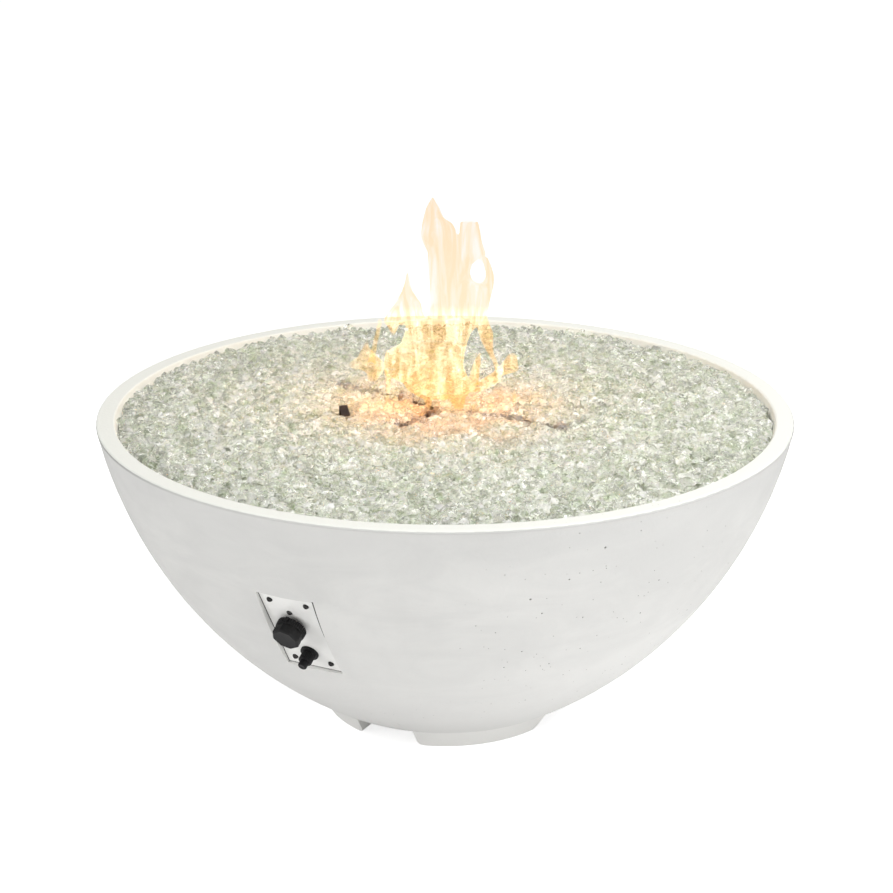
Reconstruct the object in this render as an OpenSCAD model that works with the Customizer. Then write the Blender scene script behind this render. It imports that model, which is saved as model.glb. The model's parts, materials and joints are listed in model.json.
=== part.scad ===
// Gas fire pit bowl: a cast bowl on four feet, with a burner under a bed of fire glass.
// Millimetres. The origin is on the ground under the centre, +Z is up and the control panel faces -Y.

/* [Bowl] */
// Outer diameter of the rim
rim_d = 1067; // [1000:1:1140]
// Height from the ground to the rim
bowl_h = 482; // [460:1:520]
// Diameter of the flat base
base_d = 414; // [390:1:440]
// Radius of the curve of the side, seen in section
side_r = 676; // [640:1:760]
// Thickness of the wall below the ledge
wall_t = 22; // [18:1:28]
// Thickness of the wall at the rim
rim_t = 28; // [24:1:34]
// Rounding of both edges of the rim
rim_edge_r = 3; // [1:0.5:6]
// Thickness of the floor
floor_t = 30; // [20:1:45]
// Depth of the ledge below the rim
ledge_drop = 40; // [37:1:46]
// Width of the ledge that carries the burner pan
ledge_w = 32; // [24:1:44]
// Diameter of the gas line hole in the floor
gas_hole_d = 51; // [38:1:70]

/* [Feet] */
// Height of the feet
foot_h = 32; // [22:1:42]
// Width of a foot from its inner wall to its outer wall, at the top
foot_w = 76; // [50:1:110]
// How far the outer wall of a foot leans in at the ground
foot_lean = 19; // [5:1:28]
// Width of the two crossing channels that part the feet
channel_w = 96; // [70:1:130]
// Rounding of the lower end corners of a foot
foot_corner_r = 10; // [4:1:16]

/* [Control panel] */
// Width of the panel
panel_w = 88; // [82:1:96]
// Height of the panel
panel_h = 160; // [152:1:172]
// Thickness of the panel
panel_t = 2; // [1.5:0.5:3]
// How far the panel faces downwards from level, in degrees
panel_tilt = 30.75; // [26:0.25:34]
// Depth of the recess at the middle of the panel
recess_d = 12; // [9:0.5:14]
// Gap between the panel and the edge of its recess
panel_gap = 1.5; // [0.5:0.5:3]
// Thickness of the bowl behind the recess
pad_t = 22; // [18:1:28]
// Width of the opening behind the panel
slot_w = 46; // [42:1:48]
// Height of the opening behind the panel
slot_h = 120; // [116:1:122]
// Distance of a panel screw from both edges of the panel
screw_inset = 14.5; // [12:0.5:16]
// Thread diameter of a panel screw
screw_d = 4; // [3:0.5:5]
// Height of the domed head of a panel screw
panel_head_t = 4; // [2.5:0.5:5]

/* [Valve] */
// Sideways place of the valve axis on the panel
valve_x = -5; // [-6:0.5:-3]
// Upward place of the valve axis on the panel
valve_y = 17.5; // [15:0.5:19]
// Diameter of the valve body
valve_d = 28; // [26:0.5:30]
// Length of the valve body behind its bonnet
valve_l = 46; // [44:1:54]
// Diameter of the turning plug
plug_d = 16; // [15:0.5:18]
// Diameter of the stem
stem_d = 8; // [7:0.5:9]
// Distance between the two valve screws
ear_pitch = 48; // [44:1:50]
// Travel of the knob when it is pushed in
push_travel = 3.5; // [3:0.5:5]
// Diameter of the threaded gas inlet
inlet_d = 15; // [12:0.5:16]
// Depth of the threaded gas inlet
inlet_l = 16; // [12:1:20]

/* [Knob] */
// Diameter of the ribbed skirt of the knob
skirt_d = 43; // [40:0.5:48]
// Thickness of the skirt
skirt_t = 7; // [5:0.5:8]
// Diameter of the faceted grip over its corners
grip_d = 45; // [40:0.5:47]
// How much narrower the grip is at its front
grip_taper = 2.5; // [0:0.5:6]
// Angle of one corner of the grip from the panel's level line, in degrees
grip_turn = 52; // [0:1:90]
// Height of the whole knob
knob_h = 24.5; // [20:0.5:27]
// Number of flats on the grip
grip_flats = 8; // [6:1:10]
// Number of ribs round the skirt
skirt_ribs = 36; // [24:1:48]

/* [Igniter] */
// Sideways place of the igniter axis on the panel
igniter_x = 0.5; // [-1:0.5:3]
// Upward place of the igniter axis on the panel
igniter_y = -47; // [-48:0.5:-44]
// Diameter of the flange on the panel
flange_d = 27.5; // [26:0.5:31]
// Thickness of the flange
flange_t = 4.5; // [4:0.5:6]
// Diameter of the screw cap
cap_d = 20; // [19:0.5:22]
// Length of the screw cap
cap_l = 14; // [13:0.5:18]
// Diameter of the button
button_d = 13.5; // [11:0.5:14]
// How far the button stands out of the cap
button_out = 9.5; // [7:0.5:12]
// Travel of the button
button_travel = 4; // [2:0.5:5]
// Diameter of the battery
battery_d = 14.4; // [14:0.1:14.6]
// Length of the battery with its end contact
battery_l = 50.5; // [49:0.5:52]

/* [Burner] */
// Depth of the burner pan below its flange
pan_depth = 14; // [10:1:18]
// Thickness of the pan's sheet
sheet_t = 1.5; // [1:0.5:2.5]
// Length of a burner arm from the centre
arm_l = 235; // [180:1:280]
// Diameter of a burner arm
arm_d = 22; // [18:0.5:24]
// Wall thickness of a burner arm
arm_wall = 1.4; // [1:0.1:2]
// Turn of the burner about the centre, in degrees
burner_turn = -9; // [-20:1:20]
// Diameter of a burner port
port_d = 2.4; // [1.6:0.2:3]
// Number of ports in each row of an arm
ports = 9; // [5:1:12]
// Outer diameter of the pipe nipple
nipple_d = 21.2; // [19:0.1:24]
// Outer diameter of the air mixer
mixer_d = 32; // [30:0.5:36]
// Length of the air mixer
mixer_l = 86; // [78:1:110]
// Outer diameter of the gas tube
tube_d = 10; // [8:0.5:12]
// Wall thickness of the gas tube
tube_wall = 1.2; // [0.8:0.1:1.6]

/* [Ignition] */
// Distance of the ignition bracket from the centre
pilot_r = 155; // [140:1:180]
// Direction of the ignition bracket from the centre, in degrees
pilot_a = -146; // [-152:1:-138]
// Turn of the ignition bracket about its own axis, in degrees
pilot_turn = 45; // [0:1:90]
// Width of the hood over the spark
hood_w = 13; // [12:0.5:18]
// Height of the hood above the middle of the glass
hood_rise = 5; // [2:0.5:6]

/* [Glass] */
// Depth of the edge of the glass below the rim
glass_drop = 12; // [9:0.5:14]
// Rise of the glass from its edge to the middle
glass_crown = 16; // [4:0.5:18]
// Greatest rise or fall of a lump of glass
glass_bump = 5.5; // [2:0.5:6]
// Number of rings of lumps in the glass
glass_rings = 18; // [10:1:24]
// Width of the seam that the gas keeps open over an arm
seam_w = 7; // [4:0.5:12]

/* [Hidden] */

// Smoothness of round shapes and of the large curves of the bowl
$fn = 64;
round_fn = 180;
// Radial clearance of a shaft in its bore, and the gap between pieces that only pass each other
fit_gap = 0.05;
free_gap = 0.3;
// Overlap of a cutting shape past the face that it opens
eps = 1;

// Colours of the finishes
concrete_white = [0.86, 0.86, 0.84];
concrete_cream = [0.90, 0.89, 0.86];
steel_grey = [0.62, 0.62, 0.60];
dark_steel = [0.16, 0.13, 0.11];
brass_yellow = [0.78, 0.62, 0.32];
alloy_grey = [0.70, 0.71, 0.72];
panel_white = [0.92, 0.92, 0.90];
plastic_black = [0.09, 0.09, 0.10];
ceramic_white = [0.93, 0.92, 0.88];
wire_red = [0.55, 0.16, 0.12];
copper_red = [0.72, 0.42, 0.28];
glass_clear = [0.76, 0.80, 0.76];

// The side of the bowl is one arc from the edge of the base to the rim
rim_r = rim_d / 2;
base_r = base_d / 2;
chord = [rim_r - base_r, bowl_h - foot_h];
chord_l = norm(chord);
arc_off = sqrt(side_r * side_r - chord_l * chord_l / 4);
arc_x = (rim_r + base_r) / 2 - arc_off * chord.y / chord_l;
arc_z = (bowl_h + foot_h) / 2 + arc_off * chord.x / chord_l;

// Radius of the bowl at height z, on the surface that lies inset inside the outer one
function wall_radius(z, inset) = arc_x + sqrt(pow(side_r - inset, 2) - pow(arc_z - z, 2));

ledge_z = bowl_h - ledge_drop;
ledge_out_r = wall_radius(ledge_z, rim_t);
ledge_r = ledge_out_r - ledge_w;

// The panel lies square to the side, where the side faces down by panel_tilt
panel_r = arc_x + side_r * cos(panel_tilt);
panel_z = arc_z - side_r * sin(panel_tilt);
panel_corner_r = 2;
pad_margin = 18;
slot_corner_r = 6;
slot_y = -4;
screw_x = panel_w / 2 - screw_inset;
screw_y = panel_h / 2 - screw_inset;
screw_l = 14;
screw_head_d = 2.3 * screw_d;
screw_head_t = 2.8;
screw_socket_d = 0.7 * screw_d;
anchor_d = screw_d + 3;
anchor_l = 15;

// Point in the bowl's frame of a point on the panel: across, up the slope and out of the recess floor
function panel_point(p) =
    [p.x,
     -panel_r - p.y * sin(panel_tilt) - (p.z - recess_d) * cos(panel_tilt),
     panel_z + p.y * cos(panel_tilt) - (p.z - recess_d) * sin(panel_tilt)];

// Heights inside the valve, measured out of the recess floor
bonnet_t = 10;
ear_t = 4;
ear_r = 6;
cavity_l = valve_l - 6;
cavity_end = -bonnet_t - cavity_l;
valve_end = -bonnet_t - valve_l;
plug_l = 26;
plug_end = cavity_end + 2 * fit_gap;
plug_top = plug_end + plug_l;
collar_t = 3;
collar_d = stem_d + 5;
collar_top = -bonnet_t - free_gap;
stem_end = plug_top - 7;
flat_x = 0.31 * stem_d;
gas_bore_d = 5;
port_z = plug_end + 6;
outlet_d = 16;
outlet_l = 12;
inlet_boss_d = 18;
inlet_boss_l = 24;
inlet_hex = 22;
inlet_hex_l = 12;
inlet_barrel_l = 14;
inlet_spigot_d = 12;
inlet_spigot_l = 10;
sensor_boss_d = 13;
sensor_boss_l = 24;
sensor_z = -32;
bonnet_screw_r = (plug_d + valve_d) / 4;
bonnet_screw_d = 2.5;
bonnet_screw_l = 16;

// Heights of the knob
knob_z = panel_t + screw_head_t + push_travel + free_gap;
knob_top = knob_z + knob_h;
knob_boss_d = stem_d + 7;
knob_wall = 3;
knob_bevel = 3.5;
rib_d = 2.4;
pointer_w = 5;
pointer_out = 2.5;
stem_cover = 5;
stem_top = knob_top - stem_cover;

// Heights of the igniter
igniter_d = 22;
igniter_bore_d = battery_d + 1;
igniter_nut_af = 28;
igniter_nut_t = 7;
nub_l = 1.5;
nub_d = 5.4;
battery_top = panel_t;
battery_end = battery_top - battery_l;
igniter_end = battery_end - 3.5;
blade_l = 9;
blade_w = 6.3;
blade_t = 0.8;
blade_x = 4;
flange_top = panel_t + flange_t;
cap_top = flange_top + cap_l;
cap_lid_t = 3;
cap_cavity_d = cap_d - 4;
cap_spigot_d = cap_d - 2;
cap_groove_d = 1.2;
cap_grooves = 24;
contact_t = 1.2;
contact_top = battery_top + contact_t;
packed_spring_l = 7.5;
button_flange_top = cap_top - cap_lid_t - free_gap;
button_flange_t = button_flange_top - contact_top - packed_spring_l - button_travel;
button_flange_d = cap_cavity_d - 0.8;
button_round = 2;
button_top = cap_top + button_out;

// Heights of the burner and what hangs under the pan
pan_gap = 3;
pan_floor_z = ledge_z + sheet_t - pan_depth;
pan_under_z = pan_floor_z - sheet_t;
pan_wall_r = ledge_r - pan_gap;
hub_d = 56;
hub_h = 34;
hub_wall = 6;
arm_z = pan_floor_z + 20;
arm_cap = 3;
port_tilt = 35;
port_start = 45;
nipple_in = 12;
nipple_out = 50;
nipple_wall = 2.6;
locknut_t = 9;
locknut_af = 34;
mixer_top = pan_under_z - nipple_out + 16;
mixer_end = mixer_top - mixer_l;
mixer_socket_l = 16;
throat_d = 14;
window_w = 10;
window_h = 20;
window_step = 4;
mixer_floor_t = 8;
orifice_d = 12;
orifice_hex = 16;
orifice_hex_t = 10;
orifice_tip = 14;
jet_d = 2.2;
tube_in = 6;
tube_nut_af = 17;
tube_nut_l = 12;
orifice_end = mixer_end - orifice_hex_t;

// The gas tube goes from the back of the valve to the orifice under the centre
tube_bend = 40;
tube_run = 55;
tube_reach = 200;
bend_steps = 6;
outlet_end = valve_end - outlet_l;
tube_route = [panel_point([valve_x, valve_y, outlet_end]),
    panel_point([valve_x, valve_y, outlet_end - tube_run]),
    [0, -tube_reach, orifice_end - tube_run],
    [0, 0, orifice_end - tube_run],
    [0, 0, orifice_end]];

// The ignition bracket stands on the pan and holds the electrode and the thermocouple
pilot = [pilot_r * cos(pilot_a), pilot_r * sin(pilot_a)];
bracket_w = 34;
bracket_l = 28;
bracket_screw_x = 12;
hood_l = 18;
hood_back = 9;
hood_fall = 11;
rod_gap = 7.6;
rod_y = -3;
ceramic_d = 6.4;
spark_d = 2;
sensor_d = 6;
rod_drop = 22;
sensor_top = 15;
spark_bare = 10;
spark_gap = 4;
lead_d = 3;
wire_d = 3.2;
hood_z = bowl_h - glass_drop + glass_crown + hood_rise;

// Point in the bowl's frame of a point on the bracket
function bracket_point(p) =
    [pilot.x + p.x * cos(pilot_turn) - p.y * sin(pilot_turn),
     pilot.y + p.x * sin(pilot_turn) + p.y * cos(pilot_turn),
     pan_floor_z + p.z];

lead_bend = 22;
lead_drop = 45;
lead_run = 55;
lead_corner = [45, -330, pan_under_z - 76];
wire_corner = [-60, -240, pan_under_z - 108];
lead_route = [bracket_point([rod_gap / 2, rod_y, -rod_drop]),
    bracket_point([rod_gap / 2, rod_y, -rod_drop - lead_drop]),
    lead_corner,
    panel_point([valve_x + sensor_boss_l + lead_run, valve_y, sensor_z]),
    panel_point([valve_x + sensor_boss_l, valve_y, sensor_z])];
wire_route = [bracket_point([-rod_gap / 2, rod_y, -rod_drop]),
    bracket_point([-rod_gap / 2, rod_y, -rod_drop - lead_drop]),
    wire_corner,
    panel_point([igniter_x + blade_x, igniter_y, igniter_end - blade_l - lead_run]),
    panel_point([igniter_x + blade_x, igniter_y, igniter_end - blade_l])];

// Shape of the glass bed
glass_gap = 1;
glass_top_z = bowl_h - glass_drop;
glass_seat_z = ledge_z + sheet_t;
glass_r = wall_radius(glass_top_z, rim_t) - glass_gap;
glass_seat_r = wall_radius(glass_seat_z, rim_t) - glass_gap;
glass_foot_r = pan_wall_r - sheet_t - free_gap;
glass_seed = 7;
glass_edge_share = 0.4;

// Placing of what sits on the panel, on the valve axis, on the igniter axis and on the bracket
module on_panel() {
    translate([0, -panel_r, panel_z])
        rotate([90 + panel_tilt, 0, 0])
            translate([0, 0, -recess_d])
                children();
}

module on_valve() {
    on_panel() translate([valve_x, valve_y, 0]) children();
}

module on_igniter() {
    on_panel() translate([igniter_x, igniter_y, 0]) children();
}

module on_bracket() {
    translate([pilot.x, pilot.y, pan_floor_z]) rotate(pilot_turn) children();
}

// Copies of a shape at the four panel screws
module at_panel_screws() {
    for (x = [-screw_x, screw_x], y = [-screw_y, screw_y]) on_panel() translate([x, y, 0]) children();
}

// Rod between two heights
module rod(d, z0, z1) {
    translate([0, 0, z0]) cylinder(d = d, h = z1 - z0);
}

// Hexagonal bar between two heights, measured over its flats
module hex_bar(flats, z0, z1) {
    translate([0, 0, z0]) cylinder(d = flats / cos(30), h = z1 - z0, $fn = 6);
}

// Rectangle with rounded corners, centred
module rounded_rectangle(w, h, r) {
    square([w - 2 * r, h], center = true);
    square([w, h - 2 * r], center = true);
    for (x = [-1, 1], y = [-1, 1]) translate([x * (w / 2 - r), y * (h / 2 - r)]) circle(r);
}

// Rod with a flat along one side
module flatted_rod(d, flat, z0, z1) {
    difference() {
        rod(d, z0, z1);
        translate([flat, -d, z0 - eps]) cube([d, 2 * d, z1 - z0 + 2 * eps]);
    }
}

// Screw with a low round head on z = 0 and its shank below
module round_head_screw(d, head_d, head_t, length, socket) {
    difference() {
        union() {
            rotate_extrude() intersection() {
                scale_r = (head_d * head_d / 4 + head_t * head_t) / (2 * head_t);
                translate([0, head_t - scale_r]) circle(scale_r);
                square([head_d, head_t]);
            }
            rod(d, -length, 0);
        }
        hex_bar(socket, head_t / 2, head_t + eps);
    }
}

// Unit vector, tangent of a route at point i, and side vectors carried along it without twist
function unit(v) = v / norm(v);
function tangent(p, i) = unit(p[min(i + 1, len(p) - 1)] - p[max(i - 1, 0)]);
function first_side(t) = unit(abs(t.z) < 0.9 ? cross(t, [0, 0, 1]) : cross(t, [1, 0, 0]));
function carried_sides(p, i, last) =
    let (t = tangent(p, i), s = unit(last - (last * t) * t))
    i == len(p) - 1 ? [s] : concat([s], carried_sides(p, i + 1, s));

// Route with its inner corners bent round
function bend_point(a, b, c, t) = (1 - t) * (1 - t) * a + 2 * (1 - t) * t * b + t * t * c;
function bent_route(p, bend) = concat([p[0]],
    [for (i = [1 : len(p) - 2])
        let (a = p[i] + bend * unit(p[i - 1] - p[i]), c = p[i] + bend * unit(p[i + 1] - p[i]))
        for (k = [0 : bend_steps]) bend_point(a, p[i], c, k / bend_steps)],
    [p[len(p) - 1]]);

// Route made longer at both ends
function longer_route(p, more) =
    let (n = len(p))
    concat([p[0] + more * unit(p[0] - p[1])], [for (i = [1 : n - 2]) p[i]],
        [p[n - 1] + more * unit(p[n - 1] - p[n - 2])]);

// Round tube of radius r swept along the points p
module swept_rod(p, r, sides) {
    n = len(p);
    side = carried_sides(p, 0, first_side(tangent(p, 0)));
    rings = [for (i = [0 : n - 1], k = [0 : sides - 1])
        let (a = 360 * k / sides)
        p[i] + r * (side[i] * cos(a) + cross(tangent(p, i), side[i]) * sin(a))];
    walls = [for (i = [0 : n - 2], k = [0 : sides - 1])
        let (j = (k + 1) % sides, a = i * sides + k, b = i * sides + j)
        each [[a, a + sides, b + sides], [a, b + sides, b]]];
    first_end = [for (k = [0 : sides - 1]) k];
    last_end = [for (k = [sides - 1 : -1 : 0]) (n - 1) * sides + k];
    polyhedron(rings, concat(walls, [first_end, last_end]));
}

// Coil spring along z, with the wire's outside at z0 and z1
module coil_spring(coil_r, wire, z0, z1, turns) {
    steps = turns * 8;
    rise = z1 - z0 - wire;
    swept_rod([for (i = [0 : steps])
        [coil_r * cos(45 * i), coil_r * sin(45 * i), z0 + wire / 2 + rise * i / steps]], wire / 2, 6);
}

// Section of everything inside the surface that lies inset inside the outer one
module arc_section(inset, z0, z1) {
    intersection() {
        translate([arc_x, arc_z]) circle(side_r - inset, $fn = round_fn);
        translate([0, z0]) square([2 * rim_r, z1 - z0]);
    }
}

// Part of the section that a rounded rim edge takes away, outside or inside the wall
module rim_edge(outside) {
    z = bowl_h - rim_edge_r;
    reach = outside ? side_r - rim_edge_r : side_r - rim_t + rim_edge_r;
    x = arc_x + sqrt(reach * reach - pow(arc_z - z, 2));
    way = (outside ? 1 : -1) * unit([x - arc_x, z - arc_z]);
    far = [x, z] + 3 * rim_edge_r * way;
    difference() {
        polygon([[x, z], [x, bowl_h + eps], [far.x, bowl_h + eps], far]);
        translate([x, z]) circle(rim_edge_r);
    }
}

module bowl_section() {
    difference() {
        arc_section(0, foot_h, bowl_h);
        intersection() {
            arc_section(wall_t, foot_h + floor_t, bowl_h + eps);
            square([ledge_r, bowl_h + 2 * eps]);
        }
        arc_section(rim_t, ledge_z, bowl_h + eps);
        rim_edge(true);
        rim_edge(false);
    }
}

module bowl_shell() {
    color(concrete_white)
    difference() {
        union() {
            rotate_extrude($fn = round_fn) bowl_section();
            intersection() {
                rotate_extrude($fn = round_fn) arc_section(0, foot_h, pan_under_z - pan_gap);
                on_panel() translate([0, 0, -pad_t])
                    linear_extrude(pad_t + recess_d)
                        square([panel_w + 2 * pad_margin, panel_h + 2 * pad_margin], center = true);
            }
        }
        on_panel() linear_extrude(4 * recess_d)
            square([panel_w + 2 * panel_gap, panel_h + 2 * panel_gap], center = true);
        on_panel() translate([0, slot_y, -4 * pad_t])
            linear_extrude(4 * pad_t + eps) rounded_rectangle(slot_w, slot_h, slot_corner_r);
        at_panel_screws() rod(anchor_d + 2 * fit_gap, -anchor_l - free_gap, eps);
        rod(gas_hole_d, foot_h - eps, foot_h + floor_t + eps);
    }
}

// One foot: a quarter of a leaning ring, parted from its neighbours by the channels
module foot(quarter) {
    ground_r = base_r - foot_lean;
    inner_r = base_r - foot_w;
    edge = 2;
    color(concrete_cream)
    difference() {
        intersection() {
            rotate_extrude($fn = round_fn)
                polygon([[inner_r, 0], [ground_r - edge, 0], [ground_r, edge],
                    [base_r, foot_h], [inner_r, foot_h]]);
            rotate(90 * quarter) cube([rim_r, rim_r, foot_h]);
        }
        for (turn = [0, 90]) rotate([90, 0, turn])
            linear_extrude(2 * rim_r, center = true) channel_section();
    }
}

// Section of a channel, widening at the ground round the foot corners
module channel_section() {
    translate([-channel_w / 2, -eps]) square([channel_w, foot_h + 2 * eps]);
    difference() {
        translate([-channel_w / 2 - foot_corner_r, -eps])
            square([channel_w + 2 * foot_corner_r, foot_corner_r + eps]);
        for (s = [-1, 1])
            translate([s * (channel_w / 2 + foot_corner_r), foot_corner_r]) circle(foot_corner_r);
    }
}

module foot_back_right() { foot(0); }

module foot_back_left() { foot(1); }

module foot_front_left() { foot(2); }

module foot_front_right() { foot(3); }

// Copies of a shape in the four burner directions
module at_arms() {
    for (k = [0 : 3]) rotate(burner_turn + 90 * k) children();
}

module burner_pan() {
    flange_r = ledge_out_r - pan_gap;
    color(steel_grey)
    difference() {
        rotate_extrude($fn = round_fn)
            polygon([[0, pan_under_z], [pan_wall_r, pan_under_z], [pan_wall_r, ledge_z + fit_gap],
                [flange_r, ledge_z + fit_gap], [flange_r, ledge_z + sheet_t], [pan_wall_r - sheet_t, ledge_z + sheet_t],
                [pan_wall_r - sheet_t, pan_floor_z], [0, pan_floor_z]]);
        rod(nipple_d + 2 * free_gap, pan_under_z - eps, pan_floor_z + eps);
        on_bracket() bracket_holes(-sheet_t - eps, eps);
    }
}

module cross_burner() {
    bore = arm_d - 2 * arm_wall;
    pitch = (arm_l - arm_cap - port_start - 8) / (ports - 1);
    color(steel_grey)
    difference() {
        union() {
            rod(hub_d, pan_floor_z, pan_floor_z + hub_h);
            at_arms() translate([0, 0, arm_z]) rotate([0, 90, 0]) rod(arm_d, hub_d / 4, arm_l);
        }
        rod(hub_d - 2 * hub_wall, pan_floor_z + nipple_in, pan_floor_z + hub_h - hub_wall / 2);
        rod(nipple_d + 2 * fit_gap, pan_floor_z - eps, pan_floor_z + nipple_in + eps);
        at_arms() translate([0, 0, arm_z]) rotate([0, 90, 0]) rod(bore, hub_d / 4, arm_l - arm_cap);
        at_arms() for (i = [0 : ports - 1], s = [-1, 1])
            translate([port_start + pitch * i, 0, arm_z]) rotate([-s * port_tilt, 0, 0]) rod(port_d, 0, arm_d);
    }
}

module burner_nipple() {
    color(steel_grey)
    difference() {
        rod(nipple_d, pan_under_z - nipple_out, pan_floor_z + nipple_in);
        rod(nipple_d - 2 * nipple_wall, pan_under_z - nipple_out - eps, pan_floor_z + nipple_in + eps);
    }
}

module nipple_locknut() {
    color(steel_grey)
    difference() {
        hex_bar(locknut_af, pan_under_z - locknut_t, pan_under_z);
        rod(nipple_d + 2 * fit_gap, pan_under_z - locknut_t - eps, pan_under_z + eps);
    }
}

module air_mixer() {
    window_z = mixer_end + mixer_floor_t + window_step;
    color(alloy_grey)
    difference() {
        rod(mixer_d, mixer_end, mixer_top);
        rod(nipple_d + 2 * fit_gap, mixer_top - mixer_socket_l, mixer_top + eps);
        rod(throat_d, window_z + window_h - eps, mixer_top);
        rod(mixer_d - 8, mixer_end + mixer_floor_t, window_z + window_h);
        rod(orifice_d + 2 * fit_gap, mixer_end - eps, mixer_end + mixer_floor_t + eps);
        for (turn = [0, 90]) rotate(turn)
            translate([-mixer_d, -window_w / 2, window_z])
                cube([2 * mixer_d, window_w, window_h - window_step]);
    }
}

module gas_orifice() {
    color(brass_yellow)
    difference() {
        union() {
            hex_bar(orifice_hex, orifice_end, mixer_end);
            rod(orifice_d, mixer_end - eps, mixer_end + mixer_floor_t);
            translate([0, 0, mixer_end + mixer_floor_t])
                cylinder(d1 = orifice_d, d2 = orifice_d / 2, h = orifice_tip - mixer_floor_t);
        }
        rod(tube_d + 2 * fit_gap, orifice_end - eps, orifice_end + tube_in);
        rod(jet_d, orifice_end, mixer_end + orifice_tip + eps);
    }
}

module gas_tube() {
    route = bent_route(longer_route(tube_route, tube_in - free_gap), tube_bend);
    color(alloy_grey)
    difference() {
        swept_rod(route, tube_d / 2, 12);
        swept_rod(longer_route(route, eps), tube_d / 2 - tube_wall, 12);
    }
}

module tube_nut() {
    difference() {
        hex_bar(tube_nut_af, 0, tube_nut_l);
        rod(tube_d + 2 * fit_gap, -eps, tube_nut_l + eps);
    }
}

module tube_nuts() {
    color(brass_yellow) {
        translate([0, 0, orifice_end - tube_nut_l]) tube_nut();
        on_valve() translate([0, 0, outlet_end - tube_nut_l]) tube_nut();
    }
}

module control_panel() {
    color(panel_white)
    difference() {
        on_panel() linear_extrude(panel_t) rounded_rectangle(panel_w, panel_h, panel_corner_r);
        at_panel_screws() rod(screw_d + 2 * free_gap, -eps, panel_t + eps);
        on_valve() rod(stem_d + 4, -eps, panel_t + eps);
        on_valve() at_ears() rod(screw_d + 2 * free_gap, -eps, panel_t + eps);
        on_igniter() rod(igniter_d + 2 * free_gap, -eps, panel_t + eps);
    }
}

module panel_screws() {
    color(plastic_black) at_panel_screws() translate([0, 0, panel_t])
        round_head_screw(screw_d, screw_head_d, panel_head_t, screw_l, screw_socket_d);
}

module panel_anchors() {
    color(brass_yellow) at_panel_screws() difference() {
        rod(anchor_d, -anchor_l, 0);
        rod(screw_d + 2 * fit_gap, -screw_l, eps);
    }
}

// Copies of a shape at the two ears of the bonnet
module at_ears() {
    for (y = [-1, 1]) translate([0, y * ear_pitch / 2]) children();
}

// Outline of the valve bonnet's ears
module ear_outline() {
    square([2 * ear_r, ear_pitch], center = true);
    at_ears() circle(ear_r);
}

module valve_bonnet() {
    color(alloy_grey) on_valve()
    difference() {
        union() {
            translate([0, 0, -ear_t]) linear_extrude(ear_t) ear_outline();
            rod(valve_d, -bonnet_t, 0);
        }
        rod(stem_d + 2 * fit_gap, -bonnet_t - eps, eps);
        at_ears() rod(screw_d + 2 * fit_gap, -ear_t - eps, eps);
        at_bonnet_screws() {
            rod(bonnet_screw_d + 2 * fit_gap, -bonnet_t - eps, eps);
            rod(2 * bonnet_screw_d + 2 * fit_gap, -bonnet_screw_d, eps);
        }
    }
}

module at_bonnet_screws() {
    for (turn = [45, 225]) rotate(turn) translate([bonnet_screw_r, 0, 0]) children();
}

module bonnet_screws() {
    color(steel_grey) on_valve() at_bonnet_screws() difference() {
        union() {
            rod(2 * bonnet_screw_d, -bonnet_screw_d, -free_gap);
            rod(bonnet_screw_d, -bonnet_screw_l, -free_gap);
        }
        hex_bar(bonnet_screw_d / 2 + 0.5, -bonnet_screw_d / 2, eps);
    }
}

module valve_screws() {
    color(plastic_black) on_valve() at_ears() translate([0, 0, panel_t])
        round_head_screw(screw_d, screw_head_d, screw_head_t, panel_t + ear_t + 2, screw_socket_d);
}

module valve_body() {
    color(alloy_grey) on_valve()
    difference() {
        union() {
            rod(valve_d, valve_end, -bonnet_t);
            rod(outlet_d, outlet_end, valve_end + eps);
            translate([0, 0, port_z]) rotate([0, -90, 0]) rod(inlet_boss_d, 0, inlet_boss_l);
            translate([0, 0, sensor_z]) rotate([0, 90, 0]) rod(sensor_boss_d, 0, sensor_boss_l);
        }
        rod(plug_d + 2 * fit_gap, cavity_end, -bonnet_t + eps);
        rod(gas_bore_d, outlet_end - eps, cavity_end + eps);
        rod(tube_d + 2 * fit_gap, outlet_end - eps, outlet_end + tube_in);
        translate([0, 0, port_z]) rotate([0, -90, 0]) {
            rod(gas_bore_d, 0, inlet_boss_l + eps);
            rod(inlet_spigot_d + 2 * fit_gap, inlet_boss_l - inlet_spigot_l - free_gap, inlet_boss_l + eps);
        }
        at_bonnet_screws() rod(bonnet_screw_d + 2 * fit_gap, -bonnet_screw_l - free_gap, -bonnet_t + eps);
    }
}

module valve_plug() {
    slack = 0.08;
    color(brass_yellow) on_valve()
    difference() {
        rod(plug_d, plug_end, plug_top);
        flatted_rod(stem_d + 2 * slack, flat_x + slack, stem_end - push_travel - 1, plug_top + eps);
        rod(gas_bore_d, plug_end - eps, port_z + gas_bore_d / 2);
        translate([0, 0, port_z]) rotate([-90, 0, 0]) rod(gas_bore_d - 1, 0, plug_d);
    }
}

module valve_stem() {
    color(brass_yellow) on_valve() {
        flatted_rod(stem_d, flat_x, stem_end, collar_top - collar_t);
        rod(collar_d, collar_top - collar_t, collar_top);
        rod(stem_d, collar_top, knob_z);
        flatted_rod(stem_d, flat_x, knob_z, stem_top);
    }
}

module stem_spring() {
    wire = 1.1;
    color(steel_grey) on_valve()
        coil_spring(stem_d / 2 + 1.4, wire, plug_top + fit_gap, collar_top - collar_t - fit_gap, 4);
}

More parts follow.
